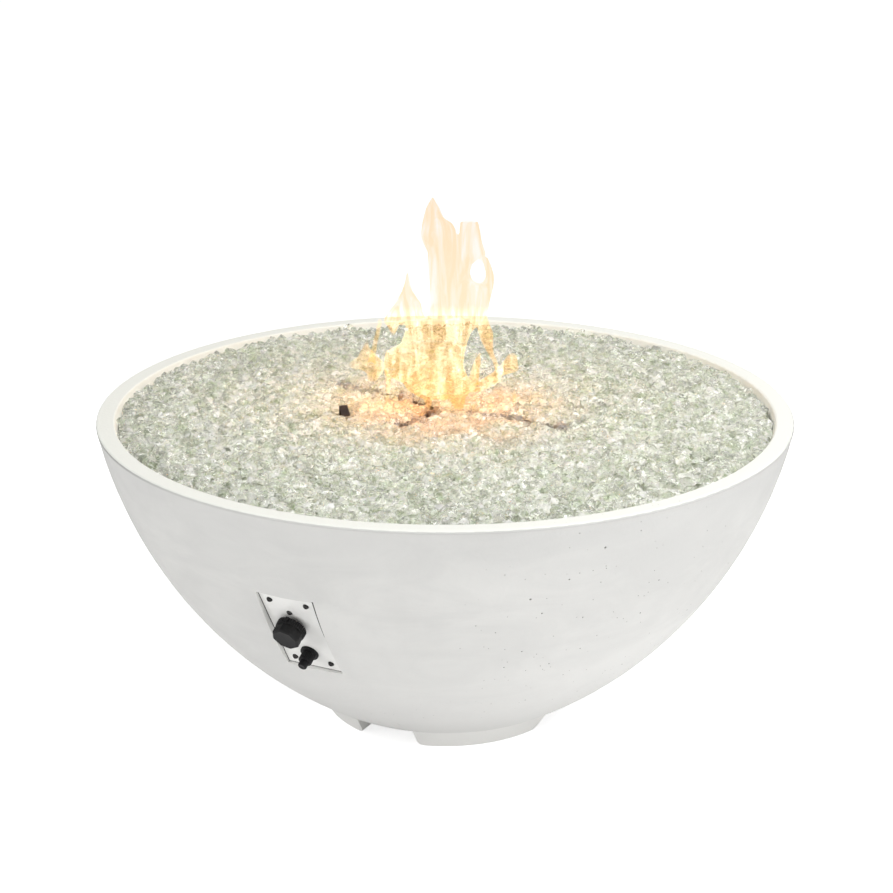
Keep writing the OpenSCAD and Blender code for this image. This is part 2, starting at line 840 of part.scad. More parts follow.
module control_knob() {
    straight_top = knob_top - knob_bevel;
    front_d = grip_d - grip_taper;
    color(plastic_black) on_valve()
    difference() {
        union() {
            difference() {
                rod(skirt_d, knob_z, knob_z + skirt_t);
                for (k = [0 : skirt_ribs - 1]) rotate(360 * k / skirt_ribs)
                    translate([skirt_d / 2 + rib_d / 4, 0, 0]) rod(rib_d, knob_z - eps, knob_z + skirt_t + eps);
            }
            translate([-pointer_w / 2, 0, knob_z])
                cube([pointer_w, skirt_d / 2 + pointer_out, skirt_t]);
            rotate(grip_turn) {
                translate([0, 0, knob_z])
                    cylinder(d1 = grip_d, d2 = front_d, h = straight_top - knob_z, $fn = grip_flats);
                translate([0, 0, straight_top])
                    cylinder(d1 = front_d, d2 = front_d - 4 * knob_bevel, h = knob_bevel, $fn = grip_flats);
            }
        }
        difference() {
            rod(front_d * cos(180 / grip_flats) - 2 * knob_wall, knob_z - eps, straight_top - knob_wall);
            rod(knob_boss_d, knob_z - 2 * eps, straight_top);
        }
        flatted_rod(stem_d + 2 * fit_gap, flat_x + fit_gap, knob_z - eps, stem_top + free_gap);
    }
}

module inlet_fitting() {
    mouth = inlet_boss_l + inlet_hex_l + inlet_barrel_l;
    color(brass_yellow) on_valve() translate([0, 0, port_z]) rotate([0, -90, 0])
    difference() {
        union() {
            rod(inlet_spigot_d, inlet_boss_l - inlet_spigot_l, inlet_boss_l + eps);
            hex_bar(inlet_hex, inlet_boss_l, inlet_boss_l + inlet_hex_l);
            rod(inlet_d + 6, inlet_boss_l + inlet_hex_l - eps, mouth);
        }
        rod(gas_bore_d, inlet_boss_l - inlet_spigot_l - eps, mouth);
        rod(inlet_d, mouth - inlet_l, mouth + eps);
    }
}

module igniter_body() {
    color(plastic_black) on_igniter()
    difference() {
        union() {
            rod(igniter_d, igniter_end, panel_t + eps);
            rod(flange_d, panel_t, flange_top);
            for (x = [-1, 1]) translate([x * blade_x - blade_t / 2, -blade_w / 2, igniter_end - blade_l])
                cube([blade_t, blade_w, blade_l + eps]);
        }
        rod(igniter_bore_d, battery_end, flange_top + eps);
        rod(cap_spigot_d + 2 * fit_gap, panel_t, flange_top + eps);
    }
}

module igniter_nut() {
    color(plastic_black) on_igniter() difference() {
        hex_bar(igniter_nut_af, -igniter_nut_t, 0);
        rod(igniter_d + 2 * fit_gap, -igniter_nut_t - eps, eps);
    }
}

module igniter_cap() {
    color(plastic_black) on_igniter()
    difference() {
        union() {
            rod(cap_spigot_d, panel_t + free_gap, flange_top + eps);
            rod(cap_d, flange_top, cap_top);
        }
        rod(cap_cavity_d, panel_t, cap_top - cap_lid_t);
        rod(button_d + 3 * fit_gap, cap_top - cap_lid_t - eps, cap_top + eps);
        for (k = [0 : cap_grooves - 1]) rotate(360 * k / cap_grooves)
            translate([cap_d / 2 + cap_groove_d / 4, 0, 0]) rod(cap_groove_d, flange_top + 2, cap_top - 2);
    }
}

module igniter_button() {
    flange_end = button_flange_top - button_flange_t;
    r = button_d / 2;
    color(plastic_black) on_igniter() {
        rod(button_flange_d, flange_end, button_flange_top);
        rotate_extrude() {
            translate([0, flange_end]) square([r, button_top - button_round - flange_end]);
            translate([0, flange_end]) square([r - button_round, button_top - flange_end]);
            translate([r - button_round, button_top - button_round]) circle(button_round, $fn = 32);
        }
    }
}

module igniter_spring() {
    wire = 0.9;
    color(steel_grey) on_igniter() coil_spring(button_d / 2 - 1.2, wire, contact_top + fit_gap,
        button_flange_top - button_flange_t - fit_gap, 5);
}

module igniter_contact() {
    color(brass_yellow) on_igniter() rod(cap_cavity_d - 0.8, battery_top, contact_top);
}

module igniter_battery() {
    color(copper_red) on_igniter() {
        rod(battery_d, battery_end, battery_top - nub_l);
        rod(nub_d, battery_top - nub_l, battery_top);
    }
}

// Copies of a shape at the two bracket screws
module at_bracket_screws() {
    for (x = [-1, 1]) translate([x * bracket_screw_x, rod_y, 0]) children();
}

// Holes for the electrode, the thermocouple and the bracket screws
module bracket_holes(z0, z1) {
    translate([-rod_gap / 2, rod_y, 0]) rod(ceramic_d + 2 * fit_gap, z0, z1);
    translate([rod_gap / 2, rod_y, 0]) rod(sensor_d + 2 * fit_gap, z0, z1);
    at_bracket_screws() rod(screw_d + 2 * fit_gap, z0, z1);
}

// Side view of the hood: a riser and a roof that falls towards the front
module hood_section() {
    top = hood_z - pan_floor_z;
    polygon([[hood_back, 0], [hood_back, top], [hood_back - hood_l, top - hood_fall],
        [hood_back - hood_l, top - hood_fall - sheet_t], [hood_back - sheet_t, top - sheet_t * 1.2],
        [hood_back - sheet_t, 0]]);
}

module ignition_bracket() {
    color(dark_steel) on_bracket()
    difference() {
        union() {
            translate([-bracket_w / 2, hood_back - bracket_l, 0]) cube([bracket_w, bracket_l, sheet_t]);
            translate([-hood_w / 2, 0, 0]) rotate([90, 0, 90]) linear_extrude(hood_w) hood_section();
        }
        bracket_holes(-eps, sheet_t + eps);
    }
}

module bracket_screws() {
    color(steel_grey) on_bracket() at_bracket_screws() translate([0, 0, sheet_t]) {
        round_head_screw(screw_d, screw_head_d, screw_head_t, screw_l, screw_socket_d);
        hex_bar(1.75 * screw_d, -2 * sheet_t - screw_d, -2 * sheet_t);
    }
}

module spark_electrode() {
    tip = hood_z - pan_floor_z - hood_fall - spark_gap;
    color(ceramic_white) on_bracket() translate([-rod_gap / 2, rod_y, 0]) {
        rod(ceramic_d, -rod_drop + spark_bare, tip - spark_bare);
        rod(spark_d, -rod_drop, tip);
    }
}

module thermocouple() {
    tip = hood_z - pan_floor_z - hood_fall - spark_gap;
    color(copper_red) on_bracket() translate([rod_gap / 2, rod_y, 0]) {
        rod(sensor_d, -rod_drop, tip - sensor_top);
        rod(sensor_d - 2, tip - sensor_top, tip);
    }
}

module ignition_wire() {
    color(wire_red) swept_rod(bent_route(wire_route, lead_bend), wire_d / 2, 8);
}

module thermocouple_lead() {
    color(copper_red) swept_rod(bent_route(lead_route, lead_bend), lead_d / 2, 8);
}

// Points of a disc in rings of 6, 12, 18 and so on, and the triangles between them
function ring_base(k) = k == 0 ? 0 : 1 + 3 * k * (k - 1);
function ring_point(k, m) = ring_base(k) + (k == 0 ? 0 : m % (6 * k));
function disc_faces(n) = [for (k = [1 : n], s = [0 : 5], j = [0 : k - 1])
    each concat([[ring_point(k, s * k + j + 1), ring_point(k, s * k + j), ring_point(k - 1, s * (k - 1) + j)]],
        j == k - 1 ? [] : [[ring_point(k, s * k + j + 1), ring_point(k - 1, s * (k - 1) + j),
            ring_point(k - 1, s * (k - 1) + j + 1)]])];

// The bed of glass, lumpy on top, standing in the pan and on its flange
module glass_bed() {
    n = glass_rings;
    lumps = rands(-glass_bump, glass_bump, ring_base(n + 1), glass_seed);
    top = [for (k = [0 : n], m = [0 : max(6 * k - 1, 0)])
        let (r = glass_r * k / n, a = k == 0 ? 0 : 360 * m / (6 * k))
        let (lump = lumps[ring_point(k, m)] * (k == n ? glass_edge_share : 1))
        [r * cos(a), r * sin(a), glass_top_z + glass_crown * (1 - k * k / (n * n)) + lump]];
    edge = 6 * n;
    rings = [[glass_seat_r, glass_seat_z], [glass_foot_r, glass_seat_z], [glass_foot_r, pan_floor_z]];
    lower = [for (q = rings, m = [0 : edge - 1])
        [q[0] * cos(360 * m / edge), q[0] * sin(360 * m / edge), q[1]]];
    first = ring_base(n);
    walls = [for (i = [0 : len(rings) - 1], m = [0 : edge - 1])
        let (a = first + i * edge + m, b = first + i * edge + (m + 1) % edge)
        each [[a, b, b + edge], [a, b + edge, a + edge]]];
    last = first + len(rings) * edge;
    under = [[for (m = [0 : edge - 1]) last + m]];
    polyhedron(concat(top, lower), concat(disc_faces(n), walls, under));
}

module fire_glass() {
    color(glass_clear)
    difference() {
        glass_bed();
        rod(hub_d + 2 * glass_gap, pan_floor_z - eps, pan_floor_z + hub_h + glass_gap);
        at_arms() {
            translate([0, 0, arm_z]) rotate([0, 90, 0]) rod(arm_d + 2 * glass_gap, 0, arm_l + glass_gap);
            translate([0, -arm_d / 2 - glass_gap, pan_floor_z - eps])
                cube([arm_l + glass_gap, arm_d + 2 * glass_gap, arm_z - pan_floor_z + eps]);
            translate([0, -seam_w / 2, arm_z]) cube([arm_l, seam_w, bowl_h - arm_z]);
        }
        on_bracket() {
            translate([-bracket_w / 2 - glass_gap, hood_back - bracket_l - glass_gap, -eps])
                cube([bracket_w + 2 * glass_gap, bracket_l + 2 * glass_gap,
                    eps + sheet_t + screw_head_t + glass_gap]);
            translate([-hood_w / 2 - glass_gap, hood_back - hood_l - glass_gap, -eps])
                cube([hood_w + 2 * glass_gap, hood_l + 2 * glass_gap, bowl_h]);
        }
    }
}

bowl_shell();
foot_front_left();
foot_front_right();
foot_back_left();
foot_back_right();
burner_pan();
cross_burner();
burner_nipple();
nipple_locknut();
air_mixer();
gas_orifice();
gas_tube();
tube_nuts();
fire_glass();
control_panel();
panel_screws();
panel_anchors();
valve_body();
valve_bonnet();
bonnet_screws();
valve_screws();
valve_plug();
valve_stem();
stem_spring();
control_knob();
inlet_fitting();
igniter_body();
igniter_nut();
igniter_cap();
igniter_button();
igniter_spring();
igniter_contact();
igniter_battery();
ignition_bracket();
bracket_screws();
spark_electrode();
ignition_wire();
thermocouple();
thermocouple_lead();
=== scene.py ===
# %% [markdown]
# # A gas fire pit bowl
#
# The object is a wide bowl cast in off-white concrete. It stands on four short feet, and a control panel
# is let into its front. A burner lies in a pan under the rim, and a bed of clear broken glass covers it.
#
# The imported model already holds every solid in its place, in metres. So this lesson adds finishes to the
# solids that have the right shape, and builds new pieces only where the solid is too plain: the loose
# glass, the knob and the other small moulded pieces.

# %% Load the frame
import json
import math
import random

import bmesh
import bpy
from mathutils import Euler, Matrix, Vector, noise


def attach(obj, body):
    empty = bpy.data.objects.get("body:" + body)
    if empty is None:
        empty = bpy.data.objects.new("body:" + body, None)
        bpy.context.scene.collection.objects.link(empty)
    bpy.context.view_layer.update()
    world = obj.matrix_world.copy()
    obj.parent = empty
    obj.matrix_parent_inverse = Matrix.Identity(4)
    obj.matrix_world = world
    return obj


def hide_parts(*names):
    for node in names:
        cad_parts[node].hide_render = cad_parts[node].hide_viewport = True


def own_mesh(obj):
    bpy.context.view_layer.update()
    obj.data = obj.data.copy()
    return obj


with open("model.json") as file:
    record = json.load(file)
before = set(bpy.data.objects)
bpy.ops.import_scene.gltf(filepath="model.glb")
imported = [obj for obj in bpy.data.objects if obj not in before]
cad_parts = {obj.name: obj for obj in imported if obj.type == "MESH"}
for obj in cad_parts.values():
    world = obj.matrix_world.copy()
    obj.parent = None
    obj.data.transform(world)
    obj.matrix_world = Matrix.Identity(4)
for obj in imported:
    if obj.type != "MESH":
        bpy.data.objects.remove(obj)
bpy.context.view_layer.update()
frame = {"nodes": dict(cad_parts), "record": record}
nodes = frame["nodes"]
MM = 0.001

# %% [markdown]
# ## The camera
#
# The photograph looks down at the bowl from its front right. Two ellipses of the rim and the corners of the
# panel fix where the camera stood: 3.8 m from the middle of the rim, turned 27 degrees and about 18 degrees
# up. A camera is easiest to place with a matrix whose columns are its right, up and back directions.

# %% Place the camera
RIM_HEIGHT = 482 * MM
PHOTO_SIDE = 893
FOCAL_PIXELS = 2469.9
SIDE_SHIFT_PIXELS = 1.3
SENSOR = 36.0
CAMERA_DISTANCE = 3.8
turn = math.radians(27.4)
climb = math.radians(17.86)
pitch = math.radians(18.73)

camera_data = bpy.data.cameras.new("camera")
camera_data.sensor_width = SENSOR
camera_data.lens = SENSOR * FOCAL_PIXELS / PHOTO_SIDE
camera_data.shift_x = SIDE_SHIFT_PIXELS / PHOTO_SIDE
camera = bpy.data.objects.new("camera", camera_data)
bpy.context.scene.collection.objects.link(camera)
bpy.context.scene.camera = camera


def back_direction(azimuth, elevation):
    """Unit vector from the object to a camera at this azimuth and elevation."""
    level = math.cos(elevation)
    return Vector((math.sin(azimuth) * level, -math.cos(azimuth) * level, math.sin(elevation)))


right = Vector((math.cos(turn), math.sin(turn), 0.0))
back = back_direction(turn, pitch)
up = back.cross(right)
place = Vector((0.0, 0.0, RIM_HEIGHT)) + CAMERA_DISTANCE * back_direction(turn, climb)
camera.matrix_world = Matrix((
    (right.x, up.x, back.x, place.x),
    (right.y, up.y, back.y, place.y),
    (right.z, up.z, back.z, place.z),
    (0.0, 0.0, 0.0, 1.0)))
print("camera at", [round(c, 3) for c in place], "lens", round(camera_data.lens, 2))

# %% [markdown]
# ## Writing shader maths as Python
#
# A material is a graph of nodes, and long graphs are hard to read when each link takes a line. Here one small
# class wraps an output socket and overloads the operators, so that `1 - mask * 0.3` adds the Math nodes
# itself. A second class holds one material and has a single method that adds any other node: first its
# settings, and then the values or links of its sockets.


# %% The socket wrapper
class Wire:
    """One output socket of a material's graph. Arithmetic on it adds Math nodes."""

    def __init__(self, finish, socket):
        self.finish = finish
        self.socket = socket

    def math(self, operation, first, second):
        return self.finish.add("ShaderNodeMath", {"operation": operation}, {0: first, 1: second})

    def __add__(self, other):
        return self.math("ADD", self, other)

    def __radd__(self, other):
        return self.math("ADD", other, self)

    def __sub__(self, other):
        return self.math("SUBTRACT", self, other)

    def __rsub__(self, other):
        return self.math("SUBTRACT", other, self)

    def __mul__(self, other):
        return self.math("MULTIPLY", self, other)

    def __pow__(self, other):
        return self.math("POWER", self, other)

    def most(self, other):
        return self.math("MAXIMUM", self, other)

    def rise(self, low, high):
        """0 below low, 1 above high, and smooth between them. It falls where low is above high."""
        ends = {"Value": self, "From Min": min(low, high), "From Max": max(low, high),
                "To Min": 0.0 if low < high else 1.0, "To Max": 1.0 if low < high else 0.0}
        return self.finish.add("ShaderNodeMapRange", {"interpolation_type": "SMOOTHSTEP"}, ends)


class Finish:
    """One material. add() makes a node, and shade() makes its Principled shader."""

    def __init__(self, name):
        self.material = bpy.data.materials.new(name)
        self.material.use_nodes = True
        self.tree = self.material.node_tree
        self.tree.nodes.clear()

    def pick(self, sockets, key):
        named = [s for s in sockets if s.identifier == key] if isinstance(key, str) else []
        return named[0] if named else sockets[key]

    def add(self, kind, settings=None, sockets=None, out=0):
        node = self.tree.nodes.new(kind)
        for key, value in (settings or {}).items():
            if key == "stops":
                ramp = node.color_ramp
                while len(ramp.elements) < len(value):
                    ramp.elements.new(1.0)
                for element, (at, colour) in zip(ramp.elements, value):
                    element.position = at
                    element.color = (*colour, 1.0)
            else:
                setattr(node, key, value)
        for key, value in (sockets or {}).items():
            socket = self.pick(node.inputs, key)
            if isinstance(value, Wire):
                self.tree.links.new(value.socket, socket)
            elif isinstance(value, tuple) and len(value) == 3 and len(socket.default_value) == 4:
                socket.default_value = (*value, 1.0)
            else:
                socket.default_value = value
        return Wire(self, self.pick(node.outputs, out)) if node.outputs else None

    def place(self):
        """Object coordinates, in metres in the part's own frame."""
        return self.add("ShaderNodeTexCoord", out="Object")

    def axes(self):
        """The three coordinates as separate values."""
        split = self.add("ShaderNodeSeparateXYZ", None, {0: self.place()})
        return [Wire(self, s) for s in split.socket.node.outputs]

    def stretched(self, scale):
        """Object coordinates multiplied by a vector, to draw a pattern out along one direction."""
        return self.add("ShaderNodeVectorMath", {"operation": "MULTIPLY"}, {0: self.place(), 1: scale})

    def cloud(self, scale, detail=4.0, rough=0.55, warp=0.0, vector=None):
        """Soft noise from 0 to 1. The scale counts lumps in a metre."""
        sockets = {"Vector": vector or self.place(), "Scale": scale, "Detail": detail, "Roughness": rough,
                   "Distortion": warp}
        return self.add("ShaderNodeTexNoise", None, sockets)

    def cells(self, scale, feature="F1", out="Distance"):
        """Voronoi cells. The scale counts cells in a metre, and distances are in cells."""
        sockets = {"Vector": self.place(), "Scale": scale}
        return self.add("ShaderNodeTexVoronoi", {"feature": feature}, sockets, out)

    def mix(self, first, second, share, blend="MIX"):
        """Two colours mixed. The share runs from 0, the first, to 1, the second."""
        return self.add("ShaderNodeMix", {"data_type": "RGBA", "blend_type": blend},
                        {"Factor_Float": share, "A_Color": first, "B_Color": second}, "Result_Color")

    def bump(self, height, depth, under=None):
        """Normals from a height from 0 to 1 that is depth metres tall, on top of another bump."""
        sockets = {"Height": height, "Distance": depth, "Strength": 1.0}
        if under is not None:
            sockets["Normal"] = under
        return self.add("ShaderNodeBump", None, sockets)

    def shade(self, **sockets):
        """The Principled shader as the material's surface. Underscores stand for spaces."""
        named = {key.replace("_", " "): value for key, value in sockets.items()}
        shader = self.add("ShaderNodeBsdfPrincipled", None, named)
        self.add("ShaderNodeOutputMaterial", None, {"Surface": shader})
        return self.material


print("shader helpers ready")

# %% [markdown]
# ## The floor and the light
#
# The object was photographed on pure white, under soft light with a little more from the right. The floor is
# a pale sheet that takes the shadow as any diffuse surface does. A weak glow, seen only by the camera, in
# reflections and through glass, lifts it to white, so no extra light has to fall on the object for that.

# %% Floor and world
scene = bpy.context.scene
scene.view_settings.view_transform = "Standard"

FLOOR_SIDE = 60.0
FLOOR_TONE = (0.86, 0.86, 0.86)
FLOOR_GLOW = 0.70
SKY_ON_OBJECT = 0.36
SKY_SEEN = 1.0
WHITE = (1.0, 1.0, 1.0)

floor_finish = Finish("studio_floor")
light_path = floor_finish.add("ShaderNodeLightPath", out="Is Camera Ray")
ray_outputs = light_path.socket.node.outputs
seen = light_path.most(Wire(floor_finish, ray_outputs["Is Glossy Ray"]))
seen = seen.most(Wire(floor_finish, ray_outputs["Is Transmission Ray"]))
pale = floor_finish.add("ShaderNodeBsdfDiffuse", None, {"Color": FLOOR_TONE})
glow = floor_finish.add("ShaderNodeEmission", None, {"Color": WHITE, "Strength": seen * FLOOR_GLOW})
both = floor_finish.add("ShaderNodeAddShader", None, {0: pale, 1: glow})
floor_finish.add("ShaderNodeOutputMaterial", None, {"Surface": both})

floor_mesh = bmesh.new()
bmesh.ops.create_grid(floor_mesh, x_segments=1, y_segments=1, size=FLOOR_SIDE / 2)
floor_data = bpy.data.meshes.new("floor")
floor_mesh.to_mesh(floor_data)
floor_mesh.free()
floor_data.materials.append(floor_finish.material)
floor = bpy.data.objects.new("floor", floor_data)
scene.collection.objects.link(floor)

world = bpy.data.worlds.new("studio")
world.use_nodes = True
scene.world = world
sky = world.node_tree.nodes["Background"]
sky.inputs["Color"].default_value = (*WHITE, 1.0)
path = world.node_tree.nodes.new("ShaderNodeLightPath")
level = world.node_tree.nodes.new("ShaderNodeMapRange")
level.inputs["To Min"].default_value = SKY_ON_OBJECT
level.inputs["To Max"].default_value = SKY_SEEN
world.node_tree.links.new(path.outputs["Is Camera Ray"], level.inputs["Value"])
world.node_tree.links.new(level.outputs["Result"], sky.inputs["Strength"])
print("floor and sky ready")

# %% Lamps
LAMP_TARGET = Vector((0.0, 0.0, 0.3))
# Each lamp has an azimuth and an elevation in degrees, a distance and a side in metres, and watts.
LAMPS = (
    ("key", 75.0, 40.0, 3.2, 2.0, 25.0),
    ("low_right", 85.0, 2.0, 3.0, 0.8, 17.0),
    ("low_front", 25.0, 0.0, 3.0, 0.8, 14.0),
    ("fill", -40.0, 12.0, 3.4, 1.6, 30.0),
    ("top", 110.0, 74.0, 2.8, 1.4, 43.0),
)


def soft_lamp(name, azimuth, elevation, distance, side, power):
    """A square white lamp that faces the bowl from this direction."""
    data = bpy.data.lights.new(name, "AREA")
    data.shape = "SQUARE"
    data.size = side
    data.energy = power
    lamp = bpy.data.objects.new(name, data)
    away = back_direction(math.radians(azimuth), math.radians(elevation))
    lamp.location = LAMP_TARGET + distance * away
    lamp.rotation_euler = away.to_track_quat("Z", "Y").to_euler()
    scene.collection.objects.link(lamp)


for row in LAMPS:
    soft_lamp(*row)
print("lamps:", len(LAMPS))

# %% [markdown]
# ## The panel's own frame
#
# The panel leans with the bowl's side, so its pieces are easiest to build upright at the origin and then
# moved. The knob's joint gives the frame: its axis points out of the panel, x runs across, and y up the
# slope. Heights count from the floor of the recess, on which the 2 mm panel lies.

# %% Frame of the panel
knob_joint = next(j for j in frame["record"]["behaviour"]["joints"] if j["name"] == "knob_turn")
outwards = Vector(knob_joint["axis"])
across = Vector((1.0, 0.0, 0.0))
upslope = outwards.cross(across)
valve_axis = Vector(knob_joint["pos_m"])
IGNITER_AT = (5.5 * MM, -64.5 * MM)
PANEL_AT = (5.0 * MM, -17.5 * MM)
RECESS_HALF = (45.5 * MM, 81.5 * MM)


def on_panel(x=0.0, y=0.0):
    """Matrix from an upright piece to the panel, counted from the valve's axis."""
    place = valve_axis + across * x + upslope * y
    return Matrix((
        (across.x, upslope.x, outwards.x, place.x),
        (across.y, upslope.y, outwards.y, place.y),
        (across.z, upslope.z, outwards.z, place.z),
        (0.0, 0.0, 0.0, 1.0)))


print("panel faces", [round(c, 3) for c in outwards])

# %% [markdown]
# ## Cast concrete
#
# Cast concrete is nearly one colour, but never quite. It has wide pale clouds where the mix dried unevenly,
# faint drawn-out marks from the mould and from polishing, fine grain, and pinholes where air bubbles met the
# mould. The pinholes are Voronoi cells: each cell draws a random number, and only the few above a limit get a
# hole. Light and shade are also painted into the colour by height: the bowl is painted paler low down and
# darker towards the rim, the rim's top and the inner wall are painted lighter, and a painted dark line runs
# just under the rim's outer edge. Two more masks follow the panel: the recess walls are painted lighter, and
# a painted shadow line lies at the panel's right edge.


# %% Concrete finishes
PITTED_PATCH = (0.367, -0.223, 0.30)
# Cells in a metre, the draw above which a cell has a pinhole, and the pinhole's radius in cells.
PINHOLES = ((46.0, 0.96, 0.10), (105.0, 0.93, 0.15), (230.0, 0.965, 0.22))
# Painted light and shade: paler low down, darker up high, a dark line under the rim, a lighter rim.
LOW_LIGHT_TONE = (0.88, 0.875, 0.855)
HIGH_SHADE_TONE = (0.58, 0.578, 0.565)
RIM_SHADE_LINE_TONE = (0.16, 0.155, 0.14)
RIM_LIGHT_TONE = (0.870, 0.880, 0.825)
GRAIN_TONE = (0.62, 0.615, 0.60)
PIT_TONE = (0.09, 0.085, 0.075)
# Painted light on the recess walls, and a painted shadow line at the panel's right edge.
RECESS_LIGHT_TONE = (0.96, 0.955, 0.93)
EDGE_SHADOW_TONE = (0.05, 0.048, 0.044)


def pinholes(f, holes):
    """Mask of the pinholes. The share of cells that have one is multiplied by holes."""
    mask = None
    for scale, limit, size in PINHOLES:
        draw = f.add("ShaderNodeSeparateColor", None, {0: f.cells(scale, out="Color")})
        limit = 1.0 - (1.0 - limit) * holes
        pit = f.cells(scale).rise(size, size * 0.45) * draw.rise(limit, limit + 0.004)
        mask = pit if mask is None else mask.most(pit)
    from_patch = f.add("ShaderNodeVectorMath", {"operation": "DISTANCE"},
                       {0: f.place(), 1: PITTED_PATCH}, "Value")
    return mask * f.cloud(2.1, 2.0, 0.5).rise(0.60, 0.74).most(from_patch.rise(0.30, 0.12))


def recess_masks(f, x, y):
    """Masks of the panel's recess, painted lighter, and of a painted shadow line at its right edge."""
    upward = f.add("ShaderNodeVectorMath", {"operation": "DOT_PRODUCT"},
                   {0: f.place(), 1: tuple(upslope)}, "Value")
    upward = upward - upslope.dot(on_panel(*PANEL_AT).translation)
    wide, high = RECESS_HALF
    front = y.rise(-0.20, -0.30)
    recess = (x * x).rise((wide + 0.4 * MM) ** 2, wide ** 2) * front
    recess = recess * (upward * upward).rise((high + 0.5 * MM) ** 2, high ** 2)
    painted_edge_shadow = x.rise(wide - 0.6 * MM, wide - 0.2 * MM) * front
    painted_edge_shadow = painted_edge_shadow * (x - upward * 0.018).rise(wide + 0.7 * MM, wide + 0.3 * MM)
    painted_edge_shadow = painted_edge_shadow * upward.rise(6 * MM, 16 * MM) * upward.rise(high + 2.0 * MM, high + 1.0 * MM)
    return recess, painted_edge_shadow


print("sizes of pinholes:", len(PINHOLES))


# %% The concrete itself
def concrete(name, pale_tone, dark_tone, holes):
    """Cast concrete between two tones, with more or fewer pinholes, and with painted light and shade."""
    f = Finish(name)
    x, y, z = f.axes()
    clouds = f.cloud(3.2, 5.0, 0.55, 0.6)
    drawn = f.cloud(1.0, 5.0, 0.6, 1.6, f.stretched((5.0, 5.0, 13.0)))
    grain = f.cloud(420.0, 3.0, 0.6)
    tone = (clouds * 0.6 + drawn * 0.4).rise(0.36, 0.66)
    colour = f.mix(dark_tone, pale_tone, tone)
    from_axis = (x * x + y * y) ** 0.5
    inner = from_axis.rise(0.5135, 0.5095) * z.rise(0.425, 0.435)
    # Painted shade: a dark line just under the rim's outer edge, stronger on the left.
    painted_rim_shade = z.rise(0.4755, 0.4785) * (0.16 + x.rise(-0.10, -0.42) * 0.45)
    pits = pinholes(f, holes)
    recess, painted_edge_shadow = recess_masks(f, x, y)
    # Painted light and shade: paler low down, darker towards the rim, lighter on the rim's top and inner
    # wall.
    colour = f.mix(colour, LOW_LIGHT_TONE, z.rise(0.36, 0.05) * 0.75)
    colour = f.mix(colour, HIGH_SHADE_TONE, z.rise(0.36, 0.47) * 0.30)
    colour = f.mix(colour, RIM_SHADE_LINE_TONE, painted_rim_shade)
    colour = f.mix(colour, RIM_LIGHT_TONE, z.rise(0.4795, 0.4810).most(inner) * 0.97)
    colour = f.mix(colour, GRAIN_TONE, grain.rise(0.60, 0.80) * 0.16)
    colour = f.mix(colour, PIT_TONE, pits * 0.92)
    # Painted light on the recess walls and a painted shadow line at the panel's right edge.
    colour = f.mix(colour, RECESS_LIGHT_TONE, recess * 0.5)
    colour = f.mix(colour, EDGE_SHADOW_TONE, painted_edge_shadow)
    surface = f.bump(f.cloud(160.0, 4.0, 0.6), 0.6 * MM)
    surface = f.bump(1.0 - pits, 2.2 * MM, surface)
    return f.shade(Base_Color=colour, Roughness=0.72 + grain * 0.16, Normal=surface,
                   Specular_IOR_Level=0.35)


bowl_concrete = concrete("bowl_concrete", (0.735, 0.730, 0.708), (0.650, 0.647, 0.630), 1.0)
# The feet's paler tones are painted light, lifting the shade that falls under the bowl.
foot_concrete = concrete("foot_concrete", (0.975, 0.965, 0.925), (0.925, 0.915, 0.875), 0.6)


def refinish(material, *names):
    """Gives CAD solids a new finish."""
    for name in names:
        slots = nodes[name].data.materials
        if slots:
            slots[0] = material
        else:
            slots.append(material)


refinish(bowl_concrete, "bowl_shell")
refinish(foot_concrete, "foot_front_left", "foot_front_right", "foot_back_left", "foot_back_right")
print("concrete on the bowl and its feet")

# %% [markdown]
# ## Metals and small parts
#
# The metal pieces differ in how they were made. Rolled sheet and pressed tube have fine lines along one
# direction, while castings and turned brass have a finer, even grain. One recipe covers them: two tones, a
# spread of roughness, and a noise that is drawn out along the lines. Wear and handling show as clouds.


# %% Metal finishes
def metal(name, tone, worn_tone, rough, lines=(260.0, 260.0, 30.0), grain=0.00006, metallic=1.0):
    """Bare or plated metal with drawn-out lines and clouded wear."""
    f = Finish(name)
    fine = f.cloud(1.0, 3.0, 0.6, 0.0, f.stretched(lines))
    wear = f.cloud(55.0, 4.0, 0.6, 0.4)
    colour = f.mix(tone, worn_tone, wear.rise(0.42, 0.72))
    roughness = rough + wear * 0.16 + fine * 0.08
    return f.shade(Base_Color=colour, Metallic=metallic, Roughness=roughness, Normal=f.bump(fine, grain))


stainless = metal("stainless", (0.56, 0.55, 0.53), (0.46, 0.44, 0.42), 0.24)
zinc_steel = metal("zinc_steel", (0.58, 0.58, 0.57), (0.44, 0.43, 0.40), 0.30, (300.0, 300.0, 300.0))
cast_alloy = metal("cast_alloy", (0.50, 0.50, 0.49), (0.38, 0.38, 0.37), 0.42, (700.0, 700.0, 700.0), 0.00016)
tube_alloy = metal("tube_alloy", (0.66, 0.66, 0.66), (0.54, 0.54, 0.54), 0.28)
brass = metal("brass", (0.72, 0.53, 0.24), (0.52, 0.37, 0.17), 0.26, (900.0, 900.0, 900.0))
copper = metal("copper", (0.70, 0.38, 0.25), (0.42, 0.24, 0.17), 0.30)
burnt_steel = metal("burnt_steel", (0.055, 0.036, 0.030), (0.025, 0.020, 0.020), 0.52,
                    (240.0, 240.0, 240.0), 0.0001, 0.7)
black_screw = metal("black_screw", (0.035, 0.034, 0.033), (0.020, 0.020, 0.020), 0.34,
                    (500.0, 500.0, 500.0), 0.00005, 0.75)

